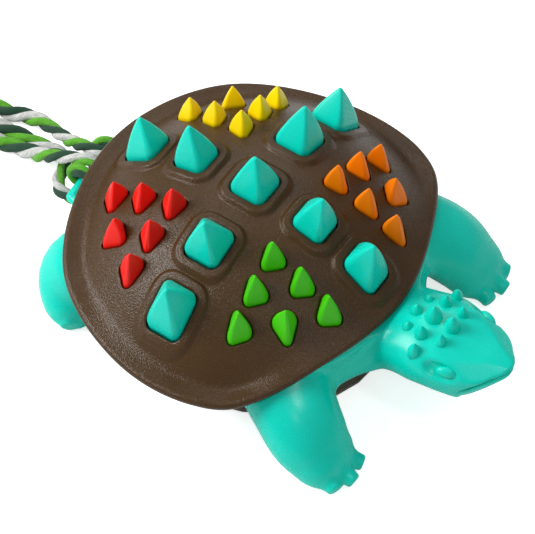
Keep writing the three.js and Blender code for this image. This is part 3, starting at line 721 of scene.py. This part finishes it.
# %% [markdown]
# The plan is lifted to the dome's height, and the same triangles, lower by the wall, make the underside.
# Strips close the openings, and rows on a half circle round the rim off. A Solidify modifier would carry
# the collars over to the underside, which is plain here.

# %% Upper shell
plan, triangles = shell_plan()
count = len(plan)
top = np.column_stack([plan, collared_height(*plan.T)])
below = np.column_stack([plan, shell_height(*plan.T) - WALL])
border = border_pairs(triangles)
border_plan = plan[border[:, 0]]
at_rim = np.hypot(*border_plan.T) > edge_radius(border_plan) - WALL
walls, rim = border[~at_rim], border[at_rim]
rim_order = np.unique(rim)
rim_plan = plan[rim_order]
rim_ray = rim_plan / np.hypot(*rim_plan.T)[:, None]
rim_points, rows = [], [rim_order]
for turn in np.radians([60, 30, 0, -30, -60]):
    rows.append(2 * count + len(rim_points) * len(rim_order) + np.arange(len(rim_order)))
    out = rim_plan + rim_ray * (WALL / 2) * np.cos(turn)
    rim_points.append(np.column_stack([out, top[rim_order, 2] - WALL / 2 + WALL / 2 * np.sin(turn)]))
rows.append(rim_order + count)
below[rim_order, 2] = top[rim_order, 2] - WALL
start, end = (np.searchsorted(rim_order, rim[:, i]) for i in range(2))
rim_faces = [
    np.stack([upper[end], upper[start], lower[start], lower[end]], axis=-1)
    for upper, lower in zip(rows[:-1], rows[1:])
]
wall_faces = np.stack([walls[:, 1], walls[:, 0], walls[:, 0] + count, walls[:, 1] + count], axis=-1)
shell_points = np.concatenate([top, below, *rim_points])
shell_faces = [triangles, triangles[:, ::-1] + count, wall_faces, *rim_faces]
upper_shell = make_piece("upper_shell_visual", shell_points, shell_faces, [nylon], "turtle")
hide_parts("upper_shell")

# %% [markdown]
# ## Teeth
#
# A tooth is a stack of rounded outlines. They shrink along a curve that swells a little and closes
# on a blunt tip, and they lie parallel to the dome at the foot, so the tooth meets its opening
# evenly all round. A cone with few sides would have straight flanks and hard edges.

# %% Teeth
STRAIGHT_SHARE, TIP_SHARES = 0.05, [0.93, 0.965, 0.985, 0.996]
CORNER_LEAST, CORNER_POWER, CORNER_MOST, TIP_LEVEL = 0.3, 2.2, 0.4, 0.3


def tooth(base, height, root, swell, seat_rise, tip_lean):
    """Rings of a tooth, sheared to lie parallel to the dome.

    Each is the base's outline times (1 - share^power)^close, where share is its share of the height.
    """
    place = np.array([base.x, base.y])
    radius = np.hypot(*place)
    away = place / radius if radius else np.zeros(2)
    slope = away * dome_slope(radius)
    foot = float(shell_height(*place)) + seat_rise
    share = np.concatenate([[-root / height, 0.0, STRAIGHT_SHARE], np.linspace(0.12, 0.88, 10), TIP_SHARES])
    power, close = swell
    size = np.clip(1 - np.maximum(share - STRAIGHT_SHARE, 0) ** power, 1e-4, 1) ** close
    rings = []
    for part, scale in zip(share, size):
        most = CORNER_MOST * base.side * scale / np.tan(np.pi / base.sides)
        soft = min(base.corner * (CORNER_LEAST + (1 - CORNER_LEAST) * scale**CORNER_POWER), most)
        ring = outline(base.sides, base.side * scale, soft, 7, 3, base.turn)
        tilt = -(ring @ slope) * (1 - TIP_LEVEL * max(part, 0))
        lean = away * tip_lean * part * height
        rings.append(np.column_stack([ring + place + lean, foot + part * height + tilt]))
    return np.stack(rings)


# %% [markdown]
# The six spikes of a colour are one rubber moulding: they stand on a sheet under the shell. The sheet is
# a grid in radius and angle, lowered from the dome, so it lies along the shell everywhere.

# %% Spike pads
SPIKE_HEIGHT, SPIKE_SWELL, SPIKE_LEAN = 9.3, (1.1, 0.8), 0.03
PAD_TOP, PAD_THICKNESS = 3.4, 2.3
PAD_INNER, PAD_OUTER, PAD_MARGIN = 20.6, 51.6, 9.2
SHEET_ROWS, SHEET_COLUMNS = 14, 20


def pad_sheet(middle):
    """Plan points of a pad's sheet: a quarter of a ring, away from the pyramids on both sides."""
    radii, shares = np.linspace(PAD_INNER, PAD_OUTER, SHEET_ROWS), np.linspace(0, 1, SHEET_COLUMNS)
    reach, swing = np.meshgrid(radii, shares, indexing="ij")
    margin = np.degrees(np.arcsin(PAD_MARGIN / reach))
    angle = np.radians(np.floor(middle / 90) * 90 + margin + (90 - 2 * margin) * swing)
    return (reach[..., None] * directions(angle)).reshape(-1, 2)


for colour, middle in quarters.items():
    points, faces = join_stacks([
        tooth(base, SPIKE_HEIGHT, PAD_TOP + 1, SPIKE_SWELL, 0.0, SPIKE_LEAN) for base in spike_bases(middle)
    ])
    sheet = pad_sheet(middle)
    level = shell_height(*sheet.T)
    upper = np.column_stack([sheet, level - PAD_TOP])
    lower = np.column_stack([sheet, level - PAD_TOP - PAD_THICKNESS])
    faces = by_corners(faces + plate_faces(SHEET_ROWS, SHEET_COLUMNS, len(points)))
    points = np.concatenate([points, upper, lower])
    look = [spike_looks[colour]]
    pad = make_piece(colour + "_pad_visual", points, faces, look, "turtle")
    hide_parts(colour + "_spike_pad")

# %% [markdown]
# ## The rubber turtle
#
# Soft rubber forms run into one another without an edge. That is easy with a distance field: every form
# gives the distance to its skin at each cell of a fine grid, and a smooth minimum blends two forms.
# OpenVDB then finds the skin, where the distance is zero. The turtle is the same on both sides,
# so only its left half is worked out.

# %% Distance fields
CELL, FAR, REACH = 0.6, 6.0, 3
field_low = np.array([-72.0, 0.0, -1.2])
field_size = np.array([294, 104, 104])
axes = [field_low[i] + CELL * np.arange(field_size[i]) for i in range(3)]
field = np.full(field_size, FAR, dtype=np.float32)
print("grid:", field.size, "cells")


def window(low, high, soft):
    """Slices of the grid that hold a box and what its blend reaches, and the cells' coordinates."""
    low, high = np.array(low) - REACH - soft, np.array(high) + REACH + soft
    first = np.clip(np.floor((low - field_low) / CELL).astype(int), 0, field_size - 1)
    last = np.clip(np.ceil((high - field_low) / CELL).astype(int) + 1, 1, field_size)
    part = tuple(slice(a, b) for a, b in zip(first, last))
    return part, *np.ix_(*[axis[cells] for axis, cells in zip(axes, part)])


def blend(a, b, soft):
    """Smooth minimum: the smaller of two distances, rounded off over a width."""
    share = np.clip(0.5 + 0.5 * (b - a) / soft, 0, 1)
    return b + (a - b) * share - soft * share * (1 - share)


def add(low, high, distance, soft):
    """Blend a form into the field. distance is a function of x, y and z."""
    part, x, y, z = window(low, high, soft)
    field[part] = blend(distance(x, y, z), field[part], soft)


def carve(low, high, distance, soft, depth=np.inf):
    """Take a form out of the field with a rounded edge, no deeper under the skin than a depth."""
    part, x, y, z = window(low, high, soft)
    form = np.maximum(distance(x, y, z), -field[part] - depth)
    field[part] = -blend(form, -field[part], soft)


# %% [markdown]
# Two forms are used again and again: a rod with a radius at each end, and a limb whose section
# is a superellipse, which is fuller than an ellipse, as a moulded leg is.

# %% Rods and limbs
LIMB_POWER, LIMB_BLEND = 2.3, 4.0


def along_line(x, y, z, start, line):
    """Distance along a direction from a start, times the direction's length."""
    return (x - start[0]) * line[0] + (y - start[1]) * line[1] + (z - start[2]) * line[2]


def rod(a, b, radius_a, radius_b):
    """Distance to a rod between two points whose radius changes evenly."""
    a, b = np.array(a, dtype=float), np.array(b, dtype=float)
    line = b - a

    def distance(x, y, z):
        share = np.clip(along_line(x, y, z, a, line) / (line @ line), 0, 1)
        gap = sum((v - p - share * d) ** 2 for v, p, d in zip((x, y, z), a, line))
        return np.sqrt(gap) - (radius_a + (radius_b - radius_a) * share)

    return distance


def add_near(a, b, room, distance, soft):
    """Blend in a form that lies within some room round the line between two points."""
    add(np.minimum(a, b) - room, np.maximum(a, b) + room, distance, soft)


def add_rod(a, b, radius_a, radius_b, soft):
    """Blend in a rod."""
    add_near(a, b, max(radius_a, radius_b), rod(a, b, radius_a, radius_b), soft)


def limb_span(a, b):
    """Distance to a span between two rows: upright superellipses across its line, with round ends."""
    length = np.hypot(*(b - a)[:2])
    ahead = (b - a)[:2] / length

    def distance(x, y, z):
        along = (x - a[0]) * ahead[0] + (y - a[1]) * ahead[1]
        share = np.clip(along / length, 0, 1)
        past = along - share * length
        across = (y - a[1]) * ahead[0] - (x - a[0]) * ahead[1]
        wide, high = (p + (q - p) * share for p, q in zip(a[3:], b[3:]))
        level = z - a[2] - (b[2] - a[2]) * share
        least = np.minimum(wide, high)
        shares = np.abs(across) / wide, np.abs(level) / high, np.abs(past) / least
        return (sum(part**LIMB_POWER for part in shares) ** (1 / LIMB_POWER) - 1) * least

    return distance


def add_limb(rows):
    """Blend in a limb along smoothed rows of x, y, z, half width and half height."""
    rows = smooth_curve(rows, 4)
    for a, b in zip(rows[:-1], rows[1:]):
        add_near(a[:3], b[:3], max(*a[3:], *b[3:]), limb_span(a, b), LIMB_BLEND)


# %% [markdown]
# The core fills the room between the two shells. It is the overlap of three simple limits,
# so it fits under the dome without a boolean cut.

# %% Core
CORE_FRONT, CORE_REAR, CORE_SIDE, CORE_POWER = 52.5, 55.0, 50.2, 2.2
CORE_INSET, CORE_FLARE, FLARE_FROM, FLARE_OVER = 0.6, 4.6, 10, 25
CORE_FLOOR, ROOF_GAP = 10.4, 3.7


def core(x, y, z):
    """Under the dome, over the lower shell, inside a flared oval wall."""
    radius, angle = np.hypot(x, y), np.arctan2(y, x)
    length = np.where(np.cos(angle) > 0, CORE_FRONT, CORE_REAR)
    along, across = np.abs(np.cos(angle)) / length, np.abs(np.sin(angle)) / CORE_SIDE
    oval = (along**CORE_POWER + across**CORE_POWER) ** (-1 / CORE_POWER)
    roof = shell_height(x, y) - ROOF_GAP
    wall = radius - (oval - CORE_INSET + CORE_FLARE * np.clip((z - FLARE_FROM) / FLARE_OVER, 0, 1))
    return np.maximum(np.maximum(z - roof, wall), CORE_FLOOR - z)


add((-60, 0, 10), (58, 58, 54), core, 0.5)
print("core:", np.count_nonzero(field < 0), "cells")

# %% [markdown]
# The legs are thick flippers with three blunt toes. A leg is a line with a half width and a half height
# at each station. Toes and tendons are rods that are blended on, the toes more tightly.
# The lists hold places and half sizes on the left side.

# %% Legs and feet
KNUCKLE_RADIUS, TOE_RADIUS, TOE_BLEND, TOE_EDGE, TOE_EXTRA, TOE_ROOM = 3.7, 2.2, 2.0, 0.8, 3, 5


def add_toe(knuckle, tip):
    """A tapering toe that is cut off flat, with its edge rounded a little."""
    knuckle, tip = np.array(knuckle), np.array(tip)
    ahead = (tip - knuckle) / np.linalg.norm(tip - knuckle)
    body = rod(knuckle, tip + ahead * TOE_EXTRA, KNUCKLE_RADIUS, TOE_RADIUS)

    def distance(x, y, z):
        return -blend(-body(x, y, z), -along_line(x, y, z, tip, ahead), TOE_EDGE)

    add_near(knuckle, tip, TOE_ROOM, distance, TOE_BLEND)


front_leg = [
    [24, 26, 21, 12, 8], [35, 36, 21.8, 12.4, 8.8], [44.6, 41.9, 17.8, 11, 8.6],
    [51.4, 44.6, 12, 10.3, 8], [57, 45.4, 7, 7.8, 5.8], [60, 45.3, 5.0, 6.8, 4.2],
]
rear_leg = [
    [-26, 26, 21, 12, 8], [-40, 31, 20, 11.4, 8], [-47.6, 34, 15.6, 10, 8.4],
    [-48.6, 37.4, 10, 8.6, 7.4], [-45.8, 40.6, 6.4, 7, 5.4], [-43.2, 42.6, 4.6, 5.8, 4.2],
]
add_limb(front_leg)
add_limb(rear_leg)
# A web of rubber between the front leg and the neck.
add_rod((42, 31, 18), (52, 14, 21), 4.6, 4.8, 5.0)
toes = [
    ((59.8, 49.2, 5.4), (67.4, 52.2, 3.2)), ((61.0, 45.3, 5.8), (70.4, 45.9, 3.0)),
    ((60.0, 41.4, 5.2), (68.8, 38.5, 3.1)), ((-44.2, 45.0, 3.8), (-41.0, 49.0, 2.9)),
    ((-42.6, 43.2, 4.0), (-37.6, 44.4, 3.0)), ((-42.8, 40.2, 3.8), (-38.8, 38.0, 2.9)),
]
for knuckle, tip in toes:
    add_toe(knuckle, tip)
# Two tendons on the front leg.
add_rod((49, 39, 18), (62.8, 44.6, 6.2), 2.0, 1.5, 4.5)
add_rod((47, 34.6, 15.5), (62, 40.6, 5.0), 2.0, 1.6, 3.0)
print("legs:", len(toes), "toes on the left side")

# %% [markdown]
# Neck and head are one long form whose section follows x, since nothing on the toy parts the one
# from the other. A sloping plane cuts the side of the snout and leaves a ridge over it.

# %% Neck and head
HEAD_START, SNOUT_TIP, SNOUT_BLUNT = 36, 99.2, 1.5
SNOUT_FROM, SNOUT_TO, SNOUT_SQUARE, CROWN_POWER = 72, 88, 0.6, 2.4
RIDGE, RIDGE_SIDE, RIDGE_ROUND = (91.7, 5.0, 37.3), (0.318, 0.503, 0.804), 0.4
neck_and_head = [
    [34, 0, 20.5, 12, 8.5], [46, 0, 21.4, 15, 10], [54, 0, 23, 16.2, 10.6], [59, 0, 25.6, 15.8, 11],
    [64, 0, 27.5, 15.8, 11.2], [70, 0, 29, 16.6, 10.9], [77, 0, 29.7, 16, 10.2], [82, 0, 29.6, 14.9, 9.5],
    [87, 0, 29.4, 13.2, 9], [91, 0, 31, 11.2, 7], [94.4, 0, 32.5, 8.2, 5], [97.2, 0, 33.6, 4.8, 3.4],
    [99.2, 0, 34.2, 1.8, 2.4],
]
head_rows = smooth_curve(neck_and_head, 4)


def head_section(x):
    """Half width, half height and height of the middle of the head at x."""
    return (np.interp(x, head_rows[:, 0], head_rows[:, i]) for i in (3, 4, 2))


def head(x, y, z):
    """Upright superellipses that follow x, with a blunt tip and a sloping side under the snout's ridge."""
    wide, high, middle = head_section(x)
    power = LIMB_POWER + SNOUT_SQUARE * smooth_step(SNOUT_FROM, SNOUT_TO, x)
    reach = (np.abs(y) / wide) ** power + (np.abs(z - middle) / high) ** power
    skin = (reach ** (1 / power) - 1) * np.minimum(wide, high)
    rounded = -blend(-skin, -along_line(x, np.abs(y), z, RIDGE, RIDGE_SIDE), RIDGE_ROUND)
    blunt = -blend(-rounded, SNOUT_TIP - x, SNOUT_BLUNT)
    return np.maximum(blunt, HEAD_START - x)


def head_top(x, y):
    """Height of the head's skin at a place on its crown."""
    wide, high, middle = head_section(x)
    return middle + high * (1 - min(y / wide, 1) ** CROWN_POWER) ** (1 / CROWN_POWER)


add((36, 0, 8), (101, 20, 44), head, LIMB_BLEND)
print("head:", len(head_rows), "sections")

# %% [markdown]
# The eye's socket, the line of the mouth and a thin step under the upper lip are carved out of the skin.
# Carving is the same smooth minimum with its signs turned round, so the edges come out soft.

# %% Face
SOCKET_PLACE, SOCKET_SIZE = (80.6, 14.2, 35.3), (5.8, 2.8, 3.1)
MOUTH_X, MOUTH_Z, MOUTH_RISE, MOUTH_BEND = 88.2, 29.2, 0.95, 0.038
MOUTH_HALF, MOUTH_DEPTH, MOUTH_START = 0.35, 1.1, 86.5
LIP_DEPTH, LIP_START = 0.6, 87


def socket(x, y, z):
    """Rough distance to an ellipsoid: its scaled radius less one, times its least half size."""
    scaled = sum(((v - c) / s) ** 2 for v, c, s in zip((x, y, z), SOCKET_PLACE, SOCKET_SIZE))
    return (np.sqrt(scaled) - 1) * min(SOCKET_SIZE)


def mouth_height(x):
    """Height of the line between the jaws."""
    return MOUTH_Z + MOUTH_RISE * (x - MOUTH_X) - MOUTH_BEND * (x - MOUTH_X) ** 2


def mouth(x, y, z):
    """A thin slot that rises from the cheek to the beak."""
    return np.maximum(np.abs(z - mouth_height(x)) - MOUTH_HALF, MOUTH_START - x)


def under_lip(x, y, z):
    """The lower jaw under the mouth's line, which stands back from the upper one."""
    return np.maximum(z - mouth_height(x), LIP_START - x)


carve((74, 9, 30), (88, 19, 41), socket, 1.2)
carve((82, 0, 24), (100, 14, 35), mouth, 0.5, MOUTH_DEPTH)
carve((84, 0, 16), (100, 20, 37), under_lip, 0.8, LIP_DEPTH)
print("face:", np.count_nonzero(field < 0), "cells of rubber are left")

# %% [markdown]
# The rope's bar and its arms come last. The half is mirrored, OpenVDB lays four-sided faces on the skin,
# and the soles are kept just above the floor. Metaballs would blend too, but a grid takes any form
# that has a distance.

# %% Tail eye and skin
BAR_HALF, SOLE_LEVEL = 13.4, 0.02
add_rod((-46, 15.4, 16.0), (-65.2, 14.0, 17), 3.4, 1.6, 1.0)
add_rod((BAR_X, 0, BAR_Z), (BAR_X, BAR_HALF, BAR_Z), 2.5, 1.8, 0.6)
whole = np.concatenate([field[:, :0:-1], field], axis=1)
volume = openvdb.FloatGrid(FAR)
volume.copyFromArray(np.ascontiguousarray(whole))
skin_points, skin_faces = volume.convertToQuads(0.0)
mirror_low = field_low - [0, CELL * (field_size[1] - 1), 0]
skin_points = np.asarray(skin_points) * CELL + mirror_low
skin_points[:, 2] = np.maximum(skin_points[:, 2], SOLE_LEVEL)
print("skin:", len(skin_points), "points")

# %% [markdown]
# Pyramids, head spikes and eyes are sharper than the grid's cells, so they are stacks of rings
# that stand in the skin. A Decimate modifier then thins the many small faces of the whole body.

# %% Body with its pyramids, head spikes and eyes
SKIN_SHARE, SEAT_DROP = 0.62, 0.2
PYRAMID_HEIGHT, PYRAMID_ROOT, PYRAMID_SWELL, PYRAMID_LEAN = 13.6, 9.0, (1.14, 0.84), 0.2
HEAD_SPIKE_ROOT, HEAD_SPIKE_SINK, HEAD_SPIKE_SWELL = 3.4, 0.3, (1.9, 0.85)
HEAD_SPIKE_RINGS, HEAD_SPIKE_TIP = 12, 0.9995
EYE_SIZE, EYE_X, EYE_Y, EYE_Z, EYE_TURN = (3.4, 1.7, 2.1), 81.9, 12.5, 34.7, 17
EYE_RINGS, EYE_SIDES, EYE_POLE = 14, 24, 0.03
head_spikes = [
    (62.6, 0, 2.2, 4.0), (69.0, 0, 3.0, 6.2), (76.0, 0, 2.7, 5.9), (63.4, 6.4, 1.7, 2.5),
    (69.0, 7.3, 2.1, 4.6), (69.9, 12.8, 2.0, 4.3), (75.9, 6.6, 1.9, 4.4),
]


def lathe(middle, radius, profile, columns=18):
    """Level rings round an upright axis: the profile gives each ring's height and share of the radius."""
    swing = 2 * np.pi * np.arange(columns) / columns
    circle = np.column_stack([-np.sin(swing), np.cos(swing), np.zeros(columns)])
    return np.stack([middle + along * upright + share * radius * circle for along, share in profile])


def head_spike(x, y, height, radius, top):
    """Rings of a spike on the head, rooted in its skin."""
    power, close = HEAD_SPIKE_SWELL
    shares = np.sin(np.linspace(0, np.pi / 2, HEAD_SPIKE_RINGS))
    shares[-1] = HEAD_SPIKE_TIP
    profile = [(-HEAD_SPIKE_ROOT, 1.0)] + [(height * t, (1 - t**power) ** close) for t in shares]
    return lathe((x, y, top - HEAD_SPIKE_SINK), radius, profile)


def eye(side):
    """Rings of a flattened ball, turned about the upright axis to lie along the cheek."""
    swing = np.linspace(EYE_POLE, np.pi - EYE_POLE, EYE_RINGS)
    ball = lathe((0, 0, 0), 1.0, [(-np.cos(t), np.sin(t)) for t in swing], EYE_SIDES)
    x, y, z = np.moveaxis(ball * EYE_SIZE, -1, 0)
    turn = -side * np.radians(EYE_TURN)
    spun = np.stack([x * np.cos(turn) - y * np.sin(turn), x * np.sin(turn) + y * np.cos(turn), z], axis=-1)
    return spun + np.array([EYE_X, side * EYE_Y, EYE_Z])


stacks = [
    tooth(base, PYRAMID_HEIGHT, PYRAMID_ROOT, PYRAMID_SWELL, COLLAR_RISE - SEAT_DROP, PYRAMID_LEAN)
    for base in pyramids
]
for x, y, radius, height in head_spikes:
    stacks += [head_spike(x, at, height, radius, head_top(x, y)) for at in sorted({y, -y})]
stacks += [eye(side) for side in (1, -1)]
points, faces = join_stacks(stacks, len(skin_points))
points = np.concatenate([skin_points, points])
faces = by_corners([np.asarray(skin_faces), *faces])
body = make_piece("rubber_body_visual", points, faces, [teal], "turtle")
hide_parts("rubber_body")
thin = body.modifiers.new("thin", "DECIMATE")
thin.ratio = SKIN_SHARE

# %% [markdown]
# ## The lower shell
#
# The lower shell lies under the belly, where little of it shows, so it keeps the mesh that came
# with the frame. Its faces are shaded smooth, and edges steeper than an angle stay sharp.

# %% Lower shell
SHARP_ANGLE = 32
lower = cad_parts["lower_shell"].data
lower.materials.clear()
lower.materials.append(nylon)
lower.polygons.foreach_set("use_smooth", np.full(len(lower.polygons), True))
lower.set_sharp_from_angle(angle=np.radians(SHARP_ANGLE))
print("lower shell:", len(lower.vertices), "points", len(lower.polygons), "faces")

# %% [markdown]
# ## Floor, light and camera
#
# A wide soft light over the tail makes the main shading, a weaker one fills from the far side,
# and two small ones in front make glints. The floor glows a little for the camera alone,
# so it looks white without lighting the toy from below.

# %% Lights and floor
def area_light(name, place, aim, size, power):
    """A square soft light at a place in metres, turned to a point."""
    data = bpy.data.lights.new(name, "AREA")
    data.size = size
    data.energy = power
    light = bpy.data.objects.new(name, data)
    light.location = place
    light.rotation_mode = "QUATERNION"
    light.rotation_quaternion = (Vector(aim) - Vector(place)).to_track_quat("-Z", "Y")
    scene.collection.objects.link(light)


area_light("key", (-0.66, -0.40, 0.66), (-0.01, 0, 0.03), 0.5, 10.2)
area_light("back", (-0.42, 0.55, 0.80), (0, 0, 0.04), 0.5, 2.5)
area_light("upper front", (0.38, -0.08, 0.75), (0.05, -0.03, 0.02), 0.09, 0.7)
area_light("lower front", (0.42, -0.33, 0.68), (0.05, -0.03, 0.02), 0.09, 0.3)
world = bpy.data.worlds.new("studio")
world.use_nodes = True
set_inputs(world.node_tree.nodes["Background"], Color=(1, 1, 1, 1), Strength=0.38)
scene.world = world

floor_mesh = bpy.data.meshes.new("floor")
floor_mesh.from_pydata([(-3, -3, 0), (3, -3, 0), (3, 3, 0), (-3, 3, 0)], [], [(0, 1, 2, 3)])
floor = bpy.data.objects.new("floor", floor_mesh)
scene.collection.objects.link(floor)
floor_look, tree, paper = new_material("floor")
set_inputs(paper, Base_Color=(0.86, 0.86, 0.86, 1), Roughness=0.9, Emission_Color=(0.7, 0.7, 0.7, 1))
wire(tree, (new_node(tree, "LightPath"), "Is Camera Ray", paper, "Emission Strength"))
floor_mesh.materials.append(floor_look)
print("floor and", len(bpy.data.lights), "lights")

# %% [markdown]
# The camera stands one metre from a target on the toy's axis. The target isn't in the middle of
# the picture: TARGET_PIXEL says where it falls, and the camera is turned by the difference.

# %% Camera
PICTURE_WIDTH, PICTURE_HEIGHT, SENSOR_WIDTH = 535, 534, 36
TARGET_PIXEL, FOCAL_PIXELS, TARGET_HEIGHT = (255.482, 181.041), 3120.78, 0.060
azimuth, elevation = np.radians(34.8996), np.radians(52.5928)
level = np.cos(elevation)
back = Vector((np.sin(azimuth) * level, -np.cos(azimuth) * level, np.sin(elevation)))
right = Vector((np.cos(azimuth), np.sin(azimuth), 0))
up = back.cross(right)
shift_right = (PICTURE_WIDTH / 2 - TARGET_PIXEL[0]) / FOCAL_PIXELS
shift_down = (PICTURE_HEIGHT / 2 - TARGET_PIXEL[1]) / FOCAL_PIXELS
ahead = -back + right * shift_right - up * shift_down
camera_data = bpy.data.cameras.new("camera")
camera_data.sensor_width = SENSOR_WIDTH
camera_data.lens = FOCAL_PIXELS / PICTURE_WIDTH * SENSOR_WIDTH
camera = bpy.data.objects.new("camera", camera_data)
camera.location = Vector((0, 0, TARGET_HEIGHT)) + back
camera.rotation_mode = "QUATERNION"
camera.rotation_quaternion = ahead.to_track_quat("-Z", "Y")
scene.collection.objects.link(camera)
scene.camera = camera
scene.view_settings.view_transform = "Standard"
print("lens:", round(camera_data.lens), "mm")
